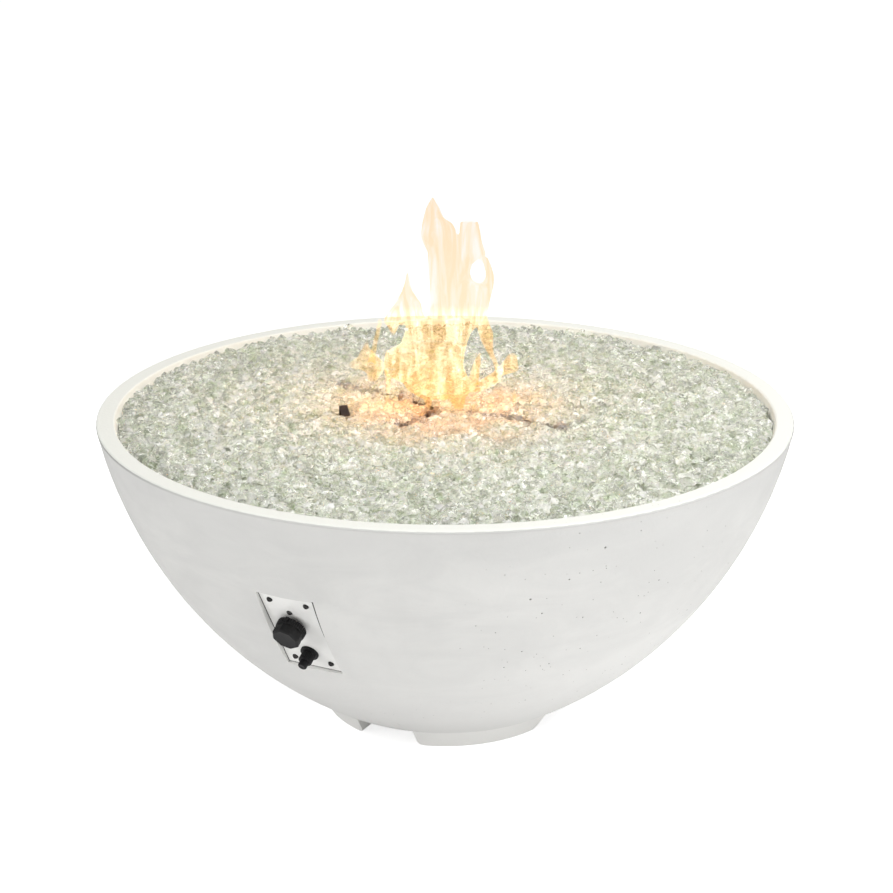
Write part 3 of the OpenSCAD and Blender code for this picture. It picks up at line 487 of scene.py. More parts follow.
METAL_SOLIDS = (
    (stainless, ("burner_pan", "burner_nipple")),
    (zinc_steel, ("nipple_locknut", "bonnet_screws", "bracket_screws", "stem_spring", "igniter_spring")),
    (cast_alloy, ("air_mixer", "valve_body", "valve_bonnet")),
    (tube_alloy, ("gas_tube",)),
    (brass, ("gas_orifice", "tube_nuts", "valve_plug", "valve_stem", "inlet_fitting", "igniter_contact",
             "panel_anchors")),
    (copper, ("thermocouple", "thermocouple_lead")),
    (burnt_steel, ("ignition_bracket",)),
    (black_screw, ("panel_screws", "valve_screws")),
)
for material, names in METAL_SOLIDS:
    refinish(material, *names)
print("metals on", sum(len(names) for material, names in METAL_SOLIDS), "solids")

# %% [markdown]
# ## The heated burner
#
# Stainless steel takes temper colours where a flame has heated it: straw, then brown, then darker still, with
# soot along the ports. The burner lies under the glass, so its arms are brown and matt along their tops, and
# bare metal lower down.

# %% Burner finish
TEMPER = (
    (0.0, (0.30, 0.27, 0.24)),
    (0.40, (0.26, 0.15, 0.075)),
    (0.70, (0.085, 0.045, 0.028)),
    (1.0, (0.03, 0.02, 0.016)),
)
HEAT_PER_METRE = 34.0
HEAT_START = 14.9

f = Finish("heated_steel")
x, y, z = f.axes()
heat = f.cloud(24.0, 4.0, 0.6, 0.5)
height = z * HEAT_PER_METRE - HEAT_START
temper = f.add("ShaderNodeValToRGB", {"stops": TEMPER}, {"Fac": height * 0.6 + heat * 0.7}, "Color")
heated_steel = f.shade(Base_Color=temper, Metallic=0.75, Roughness=0.5 + heat * 0.25,
                       Normal=f.bump(f.cloud(380.0, 3.0, 0.6), 0.0002))
refinish(heated_steel, "cross_burner")
print("temper colours on the burner")

# %% [markdown]
# ## Powder coat, plastic, ceramic and sleeves
#
# The panel is steel sheet with a white powder coat. Powder melts into a skin with tiny soft waves, so its
# gloss is broken up. The knob and the igniter are moulded in black plastic with a fine spark-eroded grain.
# The electrode is glazed ceramic, the ignition wire has a silicone sleeve, and the battery a plain dark film.


# %% Coated and moulded finishes
def skin(name, tone, other_tone, rough, wave_scale, wave_depth, **more):
    """A coated or moulded surface: two close tones, broken gloss and a fine relief."""
    f = Finish(name)
    clouds = f.cloud(26.0, 4.0, 0.6, 0.3)
    waves = f.cloud(wave_scale, 3.0, 0.55)
    colour = f.mix(tone, other_tone, clouds.rise(0.38, 0.66))
    relief = f.bump(waves, wave_depth)
    return f.shade(Base_Color=colour, Roughness=rough + clouds * 0.10, Normal=relief, **more)


powder_coat = skin("powder_coat", (0.875, 0.870, 0.845), (0.835, 0.830, 0.806), 0.36, 520.0, 0.00012)
black_plastic = skin("black_plastic", (0.010, 0.010, 0.011), (0.016, 0.016, 0.016), 0.44, 1500.0, 0.00007,
                     Specular_IOR_Level=0.12)
ceramic = skin("ceramic", (0.80, 0.78, 0.73), (0.66, 0.62, 0.56), 0.22, 300.0, 0.00003, Coat_Weight=0.4)
wire_sleeve = skin("wire_sleeve", (0.16, 0.12, 0.10), (0.10, 0.08, 0.07), 0.50, 600.0, 0.00005)
battery_film = skin("battery_film", (0.07, 0.07, 0.08), (0.10, 0.10, 0.11), 0.30, 200.0, 0.00002)

refinish(powder_coat, "control_panel")
refinish(black_plastic, "control_knob", "igniter_body", "igniter_nut", "igniter_cap", "igniter_button")
refinish(ceramic, "spark_electrode")
refinish(wire_sleeve, "ignition_wire")
refinish(battery_film, "igniter_battery")
print("coats and plastics ready")

# %% [markdown]
# ## Making a piece from a bmesh
#
# Each new piece is one object at the origin whose mesh already lies in the right place. A single helper turns
# a bmesh into such an object, gives it a finish, hangs it on an empty for the body it rides on, and hides the
# solids it stands for.


# %% The piece helper
def make_piece(name, shape, material, body, stands_for=(), smooth_angle=None):
    """Turns a bmesh into a piece of the object."""
    mesh = bpy.data.meshes.new(name)
    shape.to_mesh(mesh)
    shape.free()
    if smooth_angle is not None:
        mesh.shade_smooth()
        mesh.set_sharp_from_angle(angle=math.radians(smooth_angle))
    mesh.materials.append(material)
    piece = bpy.data.objects.new(name, mesh)
    scene.collection.objects.link(piece)
    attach(piece, body)
    if stands_for:
        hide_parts(*stands_for)
    print(name, "has", len(mesh.polygons), "faces")
    return piece


print("piece helper ready")

# %% [markdown]
# ## Fire glass
#
# Fire glass is tempered glass broken into lumps, here of 12 to 20 mm, and tumbled, so that its edges are cut
# but not sharp. A lump is a cube whose edges are bevelled once and whose corners are then pulled about: 26
# facets that catch the light one by one. Eight such lumps are enough, because each copy is turned and scaled
# at random.
#
# The copies lie on a hexagonal grid that is shaken out of order, in two layers, and the bed is a little
# higher in the middle. Three thin seams near the burner's arms stay open, where the gas comes up.

# %% Eight lumps of glass
GEM_KINDS = 8
GEM_SHAKE = 0.085
dice = random.Random(11)


def gem_shape():
    """One lump: a cube with cut edges, pulled out of square."""
    gem = bmesh.new()
    bmesh.ops.create_cube(gem, size=1.0)
    bmesh.ops.bevel(gem, geom=gem.edges[:], offset=dice.uniform(0.15, 0.28), offset_type="OFFSET", segments=1,
                    profile=0.5, affect="EDGES", material=-1)
    bmesh.ops.scale(gem, vec=(1.0, dice.uniform(0.65, 0.95), dice.uniform(0.5, 0.8)), verts=gem.verts)
    for vert in gem.verts:
        vert.co += Vector((dice.uniform(-1, 1), dice.uniform(-1, 1), dice.uniform(-1, 1))) * GEM_SHAKE
    mesh = bpy.data.meshes.new("gem")
    gem.to_mesh(mesh)
    gem.free()
    return mesh


gem_kinds = [gem_shape() for _ in range(GEM_KINDS)]
print("facets of a lump:", [len(g.polygons) for g in gem_kinds])

# %% Where the glass lies
BED_EDGE = 476 * MM
BED_CROWN = 10 * MM
BED_RADIUS = 501 * MM
BED_WAVE = 2.2 * MM
# Corners of the seams, in mm from the bowl's axis.
SEAMS = (
    ((-230, 45), (-130, 33), (-26, 8)),
    ((-10, -14), (-24, -98)),
    ((26, 8), (100, 16), (203, 2)),
)
PILOT_ROOM = 25 * MM
PILOT_REACH = 155 * MM
PILOT_TURN = math.radians(-146)
PILOT = Vector((PILOT_REACH * math.cos(PILOT_TURN), PILOT_REACH * math.sin(PILOT_TURN), 0.0))


def bed_height(x, y):
    """Height of the bed's top, with a crown and shallow waves."""
    share = (x * x + y * y) / BED_RADIUS ** 2
    wave = noise.noise(Vector((x * 14.0, y * 14.0, 0.7)))
    return BED_EDGE + BED_CROWN * (1.0 - share) + BED_WAVE * wave


def seam_distance(x, y):
    """Distance to the nearest open seam in the glass."""
    spot = Vector((x, y))
    nearest = 1.0
    for path in SEAMS:
        corners = [Vector(corner) * MM for corner in path]
        for start, end in zip(corners, corners[1:]):
            step = end - start
            share = min(1.0, max(0.0, (spot - start).dot(step) / step.length_squared))
            nearest = min(nearest, (spot - start - share * step).length)
    return nearest


print("seams:", len(SEAMS), "and the bed's middle at", round(bed_height(0.0, 0.0) / MM, 1), "mm")

# %% Scatter the lumps
ROW_STEP = 0.866
SHAKE = 0.33
LEAN = 0.5
ANY_TURN = 6.3
LIFT = 2.5 * MM
LUMP_REACH = 0.34


def scatter(pitch, sink, size_low, size_high, keep_edge, seam):
    """Places for one layer of lumps: a matrix and a tint for each. None lies in a seam."""
    rows = int(BED_RADIUS / (pitch * ROW_STEP)) + 1
    found = []
    for row in range(-rows, rows + 1):
        for column in range(-rows, rows + 1):
            x = (column + 0.5 * (row % 2)) * pitch + dice.uniform(-SHAKE, SHAKE) * pitch
            y = row * pitch * ROW_STEP + dice.uniform(-SHAKE, SHAKE) * pitch
            size = dice.uniform(size_low, size_high)
            if math.hypot(x, y) > BED_RADIUS - keep_edge:
                continue
            if seam_distance(x, y) < seam + size * LUMP_REACH:
                continue
            if math.hypot(x - PILOT.x, y - PILOT.y) < PILOT_ROOM:
                continue
            z = bed_height(x, y) - sink + dice.uniform(-LIFT, LIFT)
            lean = Euler((dice.gauss(0, LEAN), dice.gauss(0, LEAN), dice.uniform(0, ANY_TURN)))
            found.append((Matrix.LocRotScale((x, y, z), lean, (size, size, size)), dice.random()))
    return found


top_layer = scatter(14.0 * MM, 5.0 * MM, 12 * MM, 20 * MM, 6 * MM, 5.0 * MM)
low_layer = scatter(15.0 * MM, 11.0 * MM, 14 * MM, 19 * MM, 7 * MM, 3.5 * MM)
print("lumps in the top layer:", len(top_layer), "and below:", len(low_layer))

# %% [markdown]
# The glass itself is clear with a faint green cast, as float glass has from its iron. In a clear lump each
# facet shows another part of the surroundings, so neighbouring facets differ far more than their shading
# would make them: one is white, the next is grey. A random number on each face, kept as an attribute, paints
# those reflections into the colour, also where only the colour is kept: white facets are painted glints and
# dark ones painted dark reflections. The top layer is clear and casts no shadow, because light passes
# through it, and the layer below is cloudier. Near the burner both have a painted warm glow of the flames'
# light, and along the seams the lower one is brown: partly soot, partly painted shade in the gap.

# %% Glass finish
# Facet tones: the glass's faint green cast, with painted glints and painted dark reflections.
GLASS_AND_GLINT_TONES = (
    (0.0, (0.05, 0.06, 0.03)),
    (0.28, (0.44, 0.48, 0.34)),
    (0.50, (0.94, 0.95, 0.85)),
    (0.60, (1.0, 1.0, 0.98)),
)

f = Finish("fire_glass")
x, y, z = f.axes()
facet = f.add("ShaderNodeAttribute", {"attribute_name": "facet"}, None, "Fac")
from_seam = f.add("ShaderNodeAttribute", {"attribute_name": "from_seam"}, None, "Fac")
splinter = f.add("ShaderNodeSeparateColor", None, {0: f.cells(170.0, out="Color")})
clear = f.add("ShaderNodeValToRGB", {"stops": GLASS_AND_GLINT_TONES}, {"Fac": facet * 0.6 + splinter * 0.4}, "Color")
from_middle = (x * x + y * y) ** 0.5
# Painted light: a warm glow of the flames on the glass near the burner.
painted_firelight = from_middle.rise(0.25, 0.06) * f.cloud(16.0, 3.0, 0.6, 0.5).rise(0.30, 0.66)
glass_colour = f.mix(clear, (0.95, 0.80, 0.64), painted_firelight * 0.75)
# Lumps by the seams painted brown: partly soot, partly painted shade in the gap.
glass_colour = f.mix(glass_colour, (0.16, 0.075, 0.035), from_seam.rise(0.018, 0.008) * 0.85)
chipped = f.bump(f.cells(140.0), 1.4 * MM)
cloudy_glass = f.shade(Base_Color=glass_colour, Roughness=0.03 + facet * 0.06, Normal=chipped, IOR=1.52,
                       Transmission_Weight=0.3)

f = Finish("clear_glass")
x, y, z = f.axes()
facet = f.add("ShaderNodeAttribute", {"attribute_name": "facet"}, None, "Fac")
# Per-facet tint: the green cast, with painted glints towards white.
tint = f.mix((0.72, 0.80, 0.64), (1.0, 1.0, 0.99), facet.rise(0.10, 0.5))
from_middle = (x * x + y * y) ** 0.5
# Painted light: a warm glow of the flames on the glass near the burner.
painted_firelight = from_middle.rise(0.24, 0.08) * f.cloud(16.0, 3.0, 0.6, 0.5).rise(0.28, 0.62)
tint = f.mix(tint, (0.98, 0.84, 0.70), painted_firelight * 0.8)
chipped = f.bump(f.cells(120.0), 1.2 * MM)
clear_glass = f.shade(Base_Color=tint, Roughness=0.01 + facet * 0.03, Normal=chipped, IOR=1.5,
                      Transmission_Weight=0.92)
print("glass finishes ready")


# %% Build the heap
def heap(name, lumps, material):
    """One piece from many lumps."""
    shape = bmesh.new()
    facets = []
    distances = []
    for index, (matrix, shade) in enumerate(lumps):
        lump = gem_kinds[index % GEM_KINDS].copy()
        lump.transform(matrix)
        shape.from_mesh(lump)
        facets.extend(0.25 * shade + 0.75 * dice.random() for _ in lump.polygons)
        distances.extend([seam_distance(*matrix.translation.xy)] * len(lump.polygons))
        bpy.data.meshes.remove(lump)
    piece = make_piece(name, shape, material, "bowl", ["fire_glass"])
    piece.data.attributes.new("facet", "FLOAT", "FACE").data.foreach_set("value", facets)
    piece.data.attributes.new("from_seam", "FLOAT", "FACE").data.foreach_set("value", distances)
    return piece


def halves(lumps):
    """The lumps in front of the middle and those behind it."""
    front = [lump for lump in lumps if lump[0].translation.y < 0]
    return front, [lump for lump in lumps if lump[0].translation.y >= 0]


for side, lumps in zip(("front", "back"), halves(low_layer)):
    heap("glass_low_" + side, lumps, cloudy_glass)
for side, lumps in zip(("front", "back"), halves(top_layer)):
    heap("glass_top_" + side, lumps, clear_glass).visible_shadow = False

# %% [markdown]
# Between the lumps the eye only meets more glass, ever darker. The rest of the bed is therefore one solid: a
# disc spun from its outline, with its top shaken into lumps and lowered along the seams. Its finish repeats
# the scale of the lumps with Voronoi cells, with painted shade in the gaps at the cells' edges, and it is
# painted near-black along the seams: partly soot, partly painted shade.

# %% The bed below
BED_RINGS = 70
BED_STEPS = 180
BED_FILL = 0.997
BED_FOOT = 0.94
BED_DEPTH = 18 * MM
BED_SINK = 9.0 * MM
BED_ROUGH = 3.0 * MM
SEAM_HALF = 8 * MM
SEAM_DEPTH = 5.0 * MM

shape = bmesh.new()
reach = BED_RADIUS * BED_FILL
outline = [shape.verts.new((reach * k / BED_RINGS, 0.0, 0.0)) for k in range(1, BED_RINGS + 1)]
outline.append(shape.verts.new((BED_RADIUS * BED_FOOT, 0.0, -BED_DEPTH)))
for first, second in zip(outline, outline[1:]):
    shape.edges.new((first, second))
bmesh.ops.spin(shape, geom=shape.verts[:] + shape.edges[:], cent=(0, 0, 0), axis=(0, 0, 1),
               dvec=(0, 0, 0), angle=math.tau, steps=BED_STEPS, use_merge=True, use_duplicate=False)
bmesh.ops.remove_doubles(shape, verts=shape.verts, dist=0.01 * MM)
bmesh.ops.holes_fill(shape, edges=[e for e in shape.edges if e.is_boundary], sides=0)
bmesh.ops.recalc_face_normals(shape, faces=shape.faces)
bed_distances = []
for vert in shape.verts:
    lowered = BED_SINK + BED_ROUGH * noise.noise(vert.co * 90.0)
    bed_distances.append(seam_distance(vert.co.x, vert.co.y))
    if bed_distances[-1] < SEAM_HALF:
        lowered += SEAM_DEPTH
    vert.co.z += bed_height(vert.co.x, vert.co.y) - lowered
print("bed has", len(shape.verts), "corners")

# %% Finish of the bed below
f = Finish("glass_below")
x, y, z = f.axes()
shade = f.add("ShaderNodeSeparateColor", None, {0: f.cells(75.0, out="Color")})
# Painted shade: each cell darkens towards its edge, where the lumps meet.
edge = f.cells(75.0, "DISTANCE_TO_EDGE").rise(0.02, 0.16)
colour = f.mix((0.28, 0.30, 0.22), (0.96, 0.97, 0.88), edge * (0.45 + shade * 0.55))
from_middle = (x * x + y * y) ** 0.5
colour = f.mix(colour, (0.34, 0.19, 0.10), from_middle.rise(0.22, 0.05) * 0.6)
from_seam = f.add("ShaderNodeAttribute", {"attribute_name": "from_seam"}, None, "Fac")
# Painted near-black along the seams: partly soot, partly painted shade in the gap.
colour = f.mix(colour, (0.05, 0.022, 0.010), from_seam.rise(0.014, 0.008))
below_finish = f.shade(Base_Color=colour, Roughness=0.18 + shade * 0.2, Normal=f.bump(edge, 4 * MM))
bed = make_piece("glass_bed", shape, below_finish, "bowl", ["fire_glass"], 40)
bed.data.attributes.new("from_seam", "FLOAT", "POINT").data.foreach_set("value", bed_distances)

# %% [markdown]
# ## The control knob
#
# A moulded knob has two parts: a ribbed skirt for the fingertips and a taller faceted grip. Moulded edges are
# never sharp, and the soft edge is what catches the light on black plastic. So the grip starts as an
# eight-sided disc, is extruded twice, and then its sharp edges are bevelled at once. The skirt is a circle of
# 144 points in which two of every four are pulled in, and then extruded: that gives 36 ribs.

# %% Grip of the knob
KNOB_LOW = 8.6 * MM
GRIP_SIDES = 8
GRIP_TURN = math.radians(52.0)
# Radii of the grip at its foot, at its widest and at its top.
GRIP_FOOT = 20.4 * MM
GRIP_WIDEST = 21.6 * MM
GRIP_TOP = 18.6 * MM
SHARP = 0.25


def raised(shape, faces, lift, factor):
    """Extrudes faces along z and scales them about the axis. Returns the new faces."""
    grown = bmesh.ops.extrude_face_region(shape, geom=faces)
    verts = [g for g in grown["geom"] if isinstance(g, bmesh.types.BMVert)]
    bmesh.ops.translate(shape, vec=(0.0, 0.0, lift), verts=verts)
    bmesh.ops.scale(shape, vec=(factor, factor, 1.0), verts=verts)
    bmesh.ops.delete(shape, geom=faces, context="FACES_ONLY")
    return [g for g in grown["geom"] if isinstance(g, bmesh.types.BMFace)]


def soften(shape, edges, width, steps=3):
    """Rounds edges."""
    bmesh.ops.bevel(shape, geom=edges, offset=width, offset_type="OFFSET", segments=steps, profile=0.5,
                    affect="EDGES", material=-1, clamp_overlap=True)


knob = bmesh.new()
turn_and_lift = Matrix.Translation((0, 0, KNOB_LOW)) @ Matrix.Rotation(GRIP_TURN, 4, "Z")
bmesh.ops.create_circle(knob, cap_ends=True, segments=GRIP_SIDES, radius=GRIP_FOOT, matrix=turn_and_lift)
top = raised(knob, knob.faces[:], 22.3 * MM, GRIP_WIDEST / GRIP_FOOT)
top = raised(knob, top, 2.2 * MM, GRIP_TOP / GRIP_WIDEST)
bmesh.ops.inset_region(knob, faces=top, thickness=1.6 * MM, depth=-0.5 * MM, use_even_offset=True)
bmesh.ops.holes_fill(knob, edges=[e for e in knob.edges if e.is_boundary], sides=0)
bmesh.ops.recalc_face_normals(knob, faces=knob.faces)
soften(knob, [e for e in knob.edges if e.calc_face_angle(0.0) > SHARP], 0.9 * MM)
print("grip has", len(knob.faces), "faces")

# %% Skirt and pointer of the knob
RIB_POINTS = 144
RIB_DEPTH = 0.965
SKIRT_RADIUS = 22.2 * MM

skirt = bmesh.new()
lift = Matrix.Translation((0, 0, KNOB_LOW))
bmesh.ops.create_circle(skirt, cap_ends=True, segments=RIB_POINTS, radius=SKIRT_RADIUS, matrix=lift)
for vert in skirt.verts:
    step = round(math.atan2(vert.co.y, vert.co.x) / math.tau * RIB_POINTS)
    if step % 4 in (1, 2):
        vert.co.x *= RIB_DEPTH
        vert.co.y *= RIB_DEPTH
top = raised(skirt, skirt.faces[:], 8.2 * MM, 0.99)
raised(skirt, top, 0.8 * MM, 0.965)
bmesh.ops.holes_fill(skirt, edges=[e for e in skirt.edges if e.is_boundary], sides=0)
pointer_size = Matrix.LocRotScale((0, 22.0 * MM, KNOB_LOW + 3.5 * MM), None, (5 * MM, 4 * MM, 7 * MM))
pointer = bmesh.ops.create_cube(skirt, size=1.0, matrix=pointer_size)
soften(skirt, list({e for v in pointer["verts"] for e in v.link_edges}), 0.7 * MM, 2)
bmesh.ops.recalc_face_normals(skirt, faces=skirt.faces)
skirt_mesh = bpy.data.meshes.new("skirt")
skirt.to_mesh(skirt_mesh)
skirt.free()
knob.from_mesh(skirt_mesh)
bmesh.ops.transform(knob, matrix=on_panel(), verts=knob.verts)
make_piece("knob_moulding", knob, black_plastic, "knob", ["control_knob"], 35)

# %% [markdown]
# ## Painted shadow round the panel
#
# The panel is a little smaller than its recess. A thin black strip stands in that gap as a painted shadow,
# and from the front it shows as the fine dark line that draws the panel's edge. It is four bars, made from
# cubes.

# %% Painted shadow strip round the panel
# The black strip is a painted shadow in the gap round the panel.
SHADOW_STRIP_WIDTH = 1.3 * MM
SHADOW_STRIP_HEIGHT = 1.7 * MM
SHADOW_STRIP_MIDDLE = 1.0 * MM
SHADOW_STRIP_GAP = 0.75 * MM
SHADOW_STRIP_CORNERS = 2.8 * MM
PANEL_HALF = (44 * MM, 80 * MM)

shadow_strip = bmesh.new()
for side in (-1, 1):
    upright_at = (side * (PANEL_HALF[0] + SHADOW_STRIP_GAP), 0, SHADOW_STRIP_MIDDLE)
    upright_size = (SHADOW_STRIP_WIDTH, 2 * PANEL_HALF[1] + SHADOW_STRIP_CORNERS, SHADOW_STRIP_HEIGHT)
    level_at = (0, side * (PANEL_HALF[1] + SHADOW_STRIP_GAP), SHADOW_STRIP_MIDDLE)
    level_size = (2 * PANEL_HALF[0], SHADOW_STRIP_WIDTH, SHADOW_STRIP_HEIGHT)
    for bar_at, bar_size in ((upright_at, upright_size), (level_at, level_size)):
        bmesh.ops.create_cube(shadow_strip, size=1.0, matrix=Matrix.LocRotScale(bar_at, None, bar_size))
bmesh.ops.transform(shadow_strip, matrix=on_panel(*PANEL_AT), verts=shadow_strip.verts)
make_piece("panel_shadow_strip", shadow_strip, black_plastic, "bowl")

# %% [markdown]
# ## The push-button igniter
#
# The igniter is a screw-in barrel: a flange lies on the panel, a cap with grip grooves screws into it, and
# the button slides in the cap. All three are turned shapes, so each is an outline spun round its axis.


# %% Spinning an outline
def spun(outline, steps):
    """A closed turned shape from an outline of radius and height in mm that starts and ends on the axis."""
    shape = bmesh.new()
    points = [shape.verts.new((radius * MM, 0.0, height * MM)) for radius, height in outline]
    for first, second in zip(points, points[1:]):
        shape.edges.new((first, second))
    bmesh.ops.spin(shape, geom=shape.verts[:] + shape.edges[:], cent=(0, 0, 0), axis=(0, 0, 1),
                   dvec=(0, 0, 0), angle=math.tau, steps=steps, use_merge=True, use_duplicate=False)
    bmesh.ops.remove_doubles(shape, verts=shape.verts, dist=0.002 * MM)
    bmesh.ops.recalc_face_normals(shape, faces=shape.faces)
    return shape


print("outlines can be spun")

# %% Flange, cap and button
GROOVE_POINTS = 144
GROOVE_DEPTH = 0.95

flange = spun([(0, -52), (10, -52), (11, -51), (11, 2), (13.3, 2), (13.75, 2.5), (13.75, 5.2), (13.4, 6.1),
               (12.6, 6.5), (9.3, 6.5), (9.3, 2.2), (0, 2.2)], 64)
for side in (-1, 1):
    blade = Matrix.LocRotScale((side * 4 * MM, 0, -56.5 * MM), None, (0.8 * MM, 6.3 * MM, 9 * MM))
    bmesh.ops.create_cube(flange, size=1.0, matrix=blade)
bmesh.ops.transform(flange, matrix=on_panel(*IGNITER_AT), verts=flange.verts)
make_piece("igniter_flange", flange, black_plastic, "bowl", ["igniter_body"], 35)

cap = spun([(0, 2.4), (8.0, 2.4), (9.0, 2.6), (9.0, 6.5), (9.7, 6.5), (10, 6.9), (10, 8.2), (10, 8.6),
            (10, 18.4), (10, 18.8), (10, 19.6), (9.4, 20.4), (8.8, 20.5), (7.0, 20.5), (7.0, 18), (0, 18)],
           GROOVE_POINTS)
for vert in cap.verts:
    reach = vert.co.xy.length
    groove = round(math.atan2(vert.co.y, vert.co.x) / math.tau * GROOVE_POINTS) % 6 in (0, 1)
    if groove and reach > 9.9 * MM and 8.4 * MM < vert.co.z < 18.6 * MM:
        vert.co.xy *= GROOVE_DEPTH
bmesh.ops.transform(cap, matrix=on_panel(*IGNITER_AT), verts=cap.verts)
make_piece("igniter_barrel", cap, black_plastic, "bowl", ["igniter_cap"], 35)

button = spun([(0, 15.4), (7.4, 15.4), (7.4, 17.0), (6.75, 17.0), (6.75, 27.8), (6.5, 28.9), (5.8, 29.6),
               (4.8, 29.9), (3.9, 29.8), (3.2, 29.5), (0, 29.4)], 48)
bmesh.ops.transform(button, matrix=on_panel(*IGNITER_AT), verts=button.verts)
make_piece("igniter_push_button", button, black_plastic, "button", ["igniter_button"], 35)

# %% [markdown]
# ## The coil springs
#
# Two coil springs push the knob and the button back out. Each one stands on a fixed end, and shortens by the
# travel of its joint when the joint is pushed in. Here each spring only gets its own copy of its mesh, and
# keeps its length.


def gives_way(name):
    """Gives a coil spring its own copy of its mesh."""
    spring = nodes[name]
    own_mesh(spring)


gives_way("stem_spring")
gives_way("igniter_spring")

# %% [markdown]
# ## The flames
#
# A flame is burning gas and not a piece of the object, so it hangs on no body, like the floor. Its tongues
# are lofts: each is a stack of flat ellipses, and bridging the rings makes the skin. Remeshing then melts the
# tongues into one body. A flame has no solid surface. So its skin lets the light through and takes a little
# blue out of it, which keeps the flame visible against white. In its lower half it also glows, more in some
# streaks, and less close to the glass and in the thin tongues at the sides.

# %% Tongues of flame
# The first number is the depth. Each row then has a height above the rim and the two edges, in mm.
TONGUES = (
    (0, ((105, -68, 33), (124, -60, 36), (151, -26, 24), (174, -23, 24), (200, -24, 24), (235, -26, 22),
         (256, -27, 21), (268, -33, 20), (279, -37, 19), (292, -36, 16), (301, -35, 11), (310, -33, -2),
         (326, -29, -8), (342, -20, -18))),
    (2, ((105, -10, 32), (124, -10, 38), (151, 15, 64), (174, 16, 68), (199, 16, 73), (206, 16, 48),
         (213, 16, 40), (224, 16, 38), (236, 17, 42), (245, 18, 52), (251, 19, 62), (270, 20, 56),
         (288, 21, 53), (303, 22, 50))),
    (2, ((195, 40, 73), (204, 52, 74), (213, 60, 75), (224, 60, 73), (236, 57, 69), (246, 48, 65))),
    (-2, ((142, -94, -34), (151, -92, -30), (163, -84, -34), (174, -76, -36), (184, -71, -43),
          (194, -66, -49), (206, -62, -52), (224, -58, -56))),
    (-6, ((22, -40, 34), (33, -58, 39), (46, -66, 40), (58, -91, 34), (74, -95, 28), (96, -92, 31),
          (110, -68, 34), (128, -62, 40), (152, -59, 46))),
    (-14, ((4, -29, -21), (19, -33, -19), (32, -34, -17), (52, -40, -10))),
    (-14, ((0, 18, 26), (12, 9, 31), (30, 5, 31), (50, 1, 24), (72, -8, 14))),
    (-18, ((-5, -98, -93), (19, -92, -86), (40, -91, -84), (58, -92, -81), (74, -95, -72))),
    (-4, ((122, -81, -77), (136, -88, -70), (150, -94, -68))),
    (-10, ((76, -120, -104), (90, -117, -105), (112, -111, -102), (132, -106, -97), (151, -102, -95))),
    (6, ((44, -119, -106), (58, -121, -95), (68, -136, -92), (77, -137, -95), (87, -133, -106),
         (100, -127, -115), (112, -120, -118))),
    (4, ((64, -141, -128), (71, -150, -131), (82, -140, -132))),
    (6, ((40, 79, 86), (60, 77, 85), (76, 72, 81), (92, 63, 75), (108, 55, 74), (124, 50, 74),
         (138, 47, 68), (152, 44, 64))),
    (-12, ((33, 28, 58), (46, 31, 51), (60, 37, 53), (80, 42, 55), (98, 51, 55))),
    (0, ((34, 38, 66), (45, 50, 82), (56, 66, 88), (64, 78, 114), (74, 86, 112), (92, 96, 110))),
    (-20, ((14, 101, 109), (27, 102, 110), (40, 105, 107))),
    (-10, ((10, 127, 131), (28, 129, 133), (43, 130, 131))),
)
FLAME_SEGMENTS = 16
FLAME_STRETCH = 0.972
THINNEST = 3.0 * MM
DEEPEST = 16 * MM
into_picture = Vector((-back.x, -back.y, 0.0)).normalized()


def flame_ring(shape, depth, row):
    """One flat ellipse of a tongue. Returns its edges."""
    height, left_edge, right_edge = row
    centre = Vector((0.0, 0.0, RIM_HEIGHT + height * FLAME_STRETCH * MM))
    centre += right * (left_edge + right_edge) / 2 * MM + into_picture * depth * MM
    wide = (right_edge - left_edge) / 2 * MM
    deep = min(max(0.5 * wide, THINNEST), DEEPEST)
    turned = Matrix((
        (right.x * wide, into_picture.x * deep, 0.0, centre.x),
        (right.y * wide, into_picture.y * deep, 0.0, centre.y),
        (0.0, 0.0, 1.0, centre.z),
        (0.0, 0.0, 0.0, 1.0)))
    ring = bmesh.ops.create_circle(shape, cap_ends=False, segments=FLAME_SEGMENTS, radius=1.0, matrix=turned)
    return list({edge for vert in ring["verts"] for edge in vert.link_edges})


flames = bmesh.new()
for depth, rows in TONGUES:
    rings = [flame_ring(flames, depth, row) for row in rows]
    for lower, upper in zip(rings, rings[1:]):
        bmesh.ops.bridge_loops(flames, edges=lower + upper)
    bmesh.ops.holes_fill(flames, edges=rings[0] + rings[-1], sides=FLAME_SEGMENTS)
bmesh.ops.recalc_face_normals(flames, faces=flames.faces)
flame_mesh = bpy.data.meshes.new("flames")
flames.to_mesh(flame_mesh)
flames.free()
flame = bpy.data.objects.new("flames", flame_mesh)
scene.collection.objects.link(flame)
print("tongues of flame:", len(TONGUES))

# %% Melt the tongues together
FLAME_VOXEL = 2.0 * MM

melt = flame.modifiers.new("melt", "REMESH")
melt.mode = "VOXEL"
melt.voxel_size = FLAME_VOXEL
melt.use_smooth_shade = True
settle = flame.modifiers.new("settle", "SMOOTH")
settle.factor = 0.5
settle.iterations = 5
print("tongues melted together in steps of", round(FLAME_VOXEL / MM, 1), "mm")

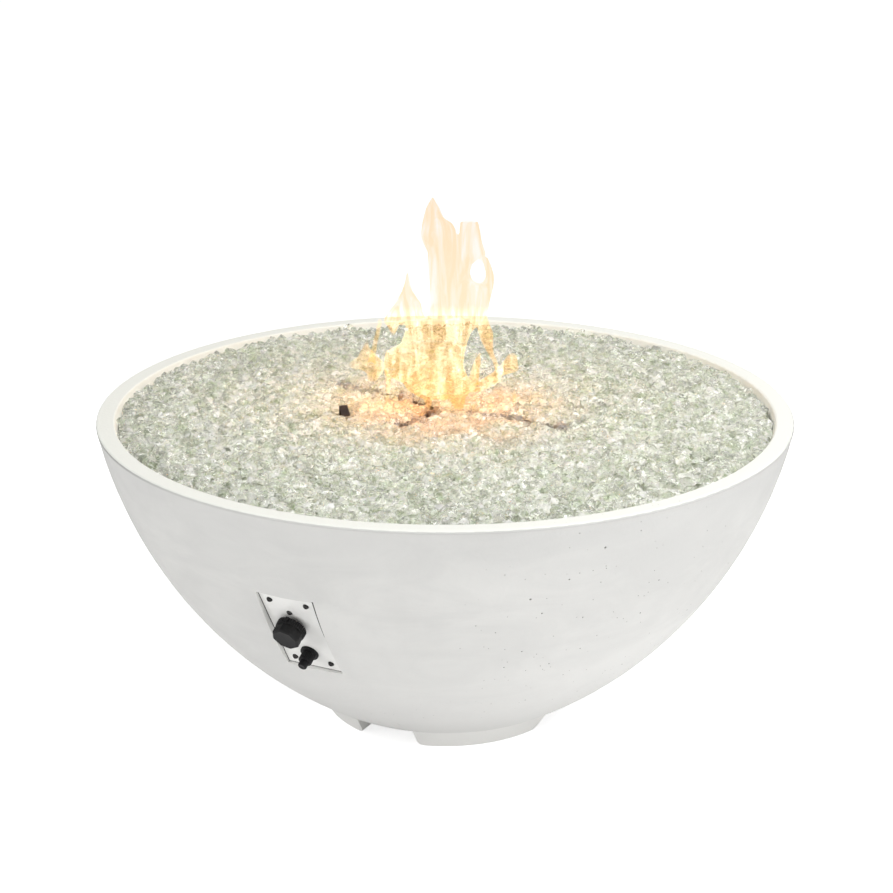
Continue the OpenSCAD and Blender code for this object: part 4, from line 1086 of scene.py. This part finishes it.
# %% Burning gas
GLOW_ENDS = RIM_HEIGHT + 163 * MM
GLOW_FULL = RIM_HEIGHT + 149 * MM
GLASS_FADE = (RIM_HEIGHT + 62 * MM, RIM_HEIGHT + 5 * MM)

f = Finish("burning_gas")
x, y, z = f.axes()
low = z.rise(GLOW_ENDS, GLOW_FULL)
at_the_glass = z.rise(*GLASS_FADE)
streak = f.cloud(1.0, 3.0, 0.5, 0.9, f.stretched((58.0, 58.0, 9.0)))
core = streak.rise(0.44, 0.66)
from_column = (x * x + y * y) ** 0.5
thin = from_column.rise(0.15, 0.07) * 0.62 + 0.38
edge = f.add("ShaderNodeNewGeometry", out="Pointiness").rise(0.51, 0.56)
tint = f.mix((1.0, 0.885, 0.73), (1.0, 0.975, 0.93), core.most(1.0 - thin))
tint = f.mix(tint, (1.0, 0.985, 0.96), edge * low)
tint = f.mix(tint, (0.955, 0.948, 0.962), 1.0 - low, "MULTIPLY")
warm = f.mix((1.0, 0.47, 0.08), (1.0, 0.80, 0.50), core)
through = f.add("ShaderNodeBsdfTransparent", None, {"Color": tint})
strength = low * thin * (1.0 - edge * 0.8) * (1.0 - at_the_glass * 0.5) * (0.13 + core * 0.31)
gives = f.add("ShaderNodeEmission", None, {"Color": warm, "Strength": strength})
burning = f.add("ShaderNodeAddShader", None, {0: through, 1: gives})
f.add("ShaderNodeOutputMaterial", None, {"Surface": burning})
flame_mesh.materials.append(f.material)
print("the flames glow below", round(GLOW_ENDS / MM), "mm")

# %% Light from the flames
FLAME_LIGHT = (1.0, 0.56, 0.22)


def flame_lamp(name, along, height, power):
    """A warm point of light inside the flames. The camera doesn't see it."""
    data = bpy.data.lights.new(name, "POINT")
    data.energy = power
    data.color = FLAME_LIGHT
    data.shadow_soft_size = 0.05
    lamp = bpy.data.objects.new(name, data)
    lamp.location = Vector((0.0, 0.0, RIM_HEIGHT + height)) + right * along
    lamp.visible_camera = False
    lamp.visible_glossy = False
    scene.collection.objects.link(lamp)


flame_lamp("flame_left", -0.10, 0.085, 0.38)
flame_lamp("flame_middle", -0.01, 0.12, 0.65)
flame_lamp("flame_right", 0.08, 0.085, 0.38)
print("the flames light the glass")
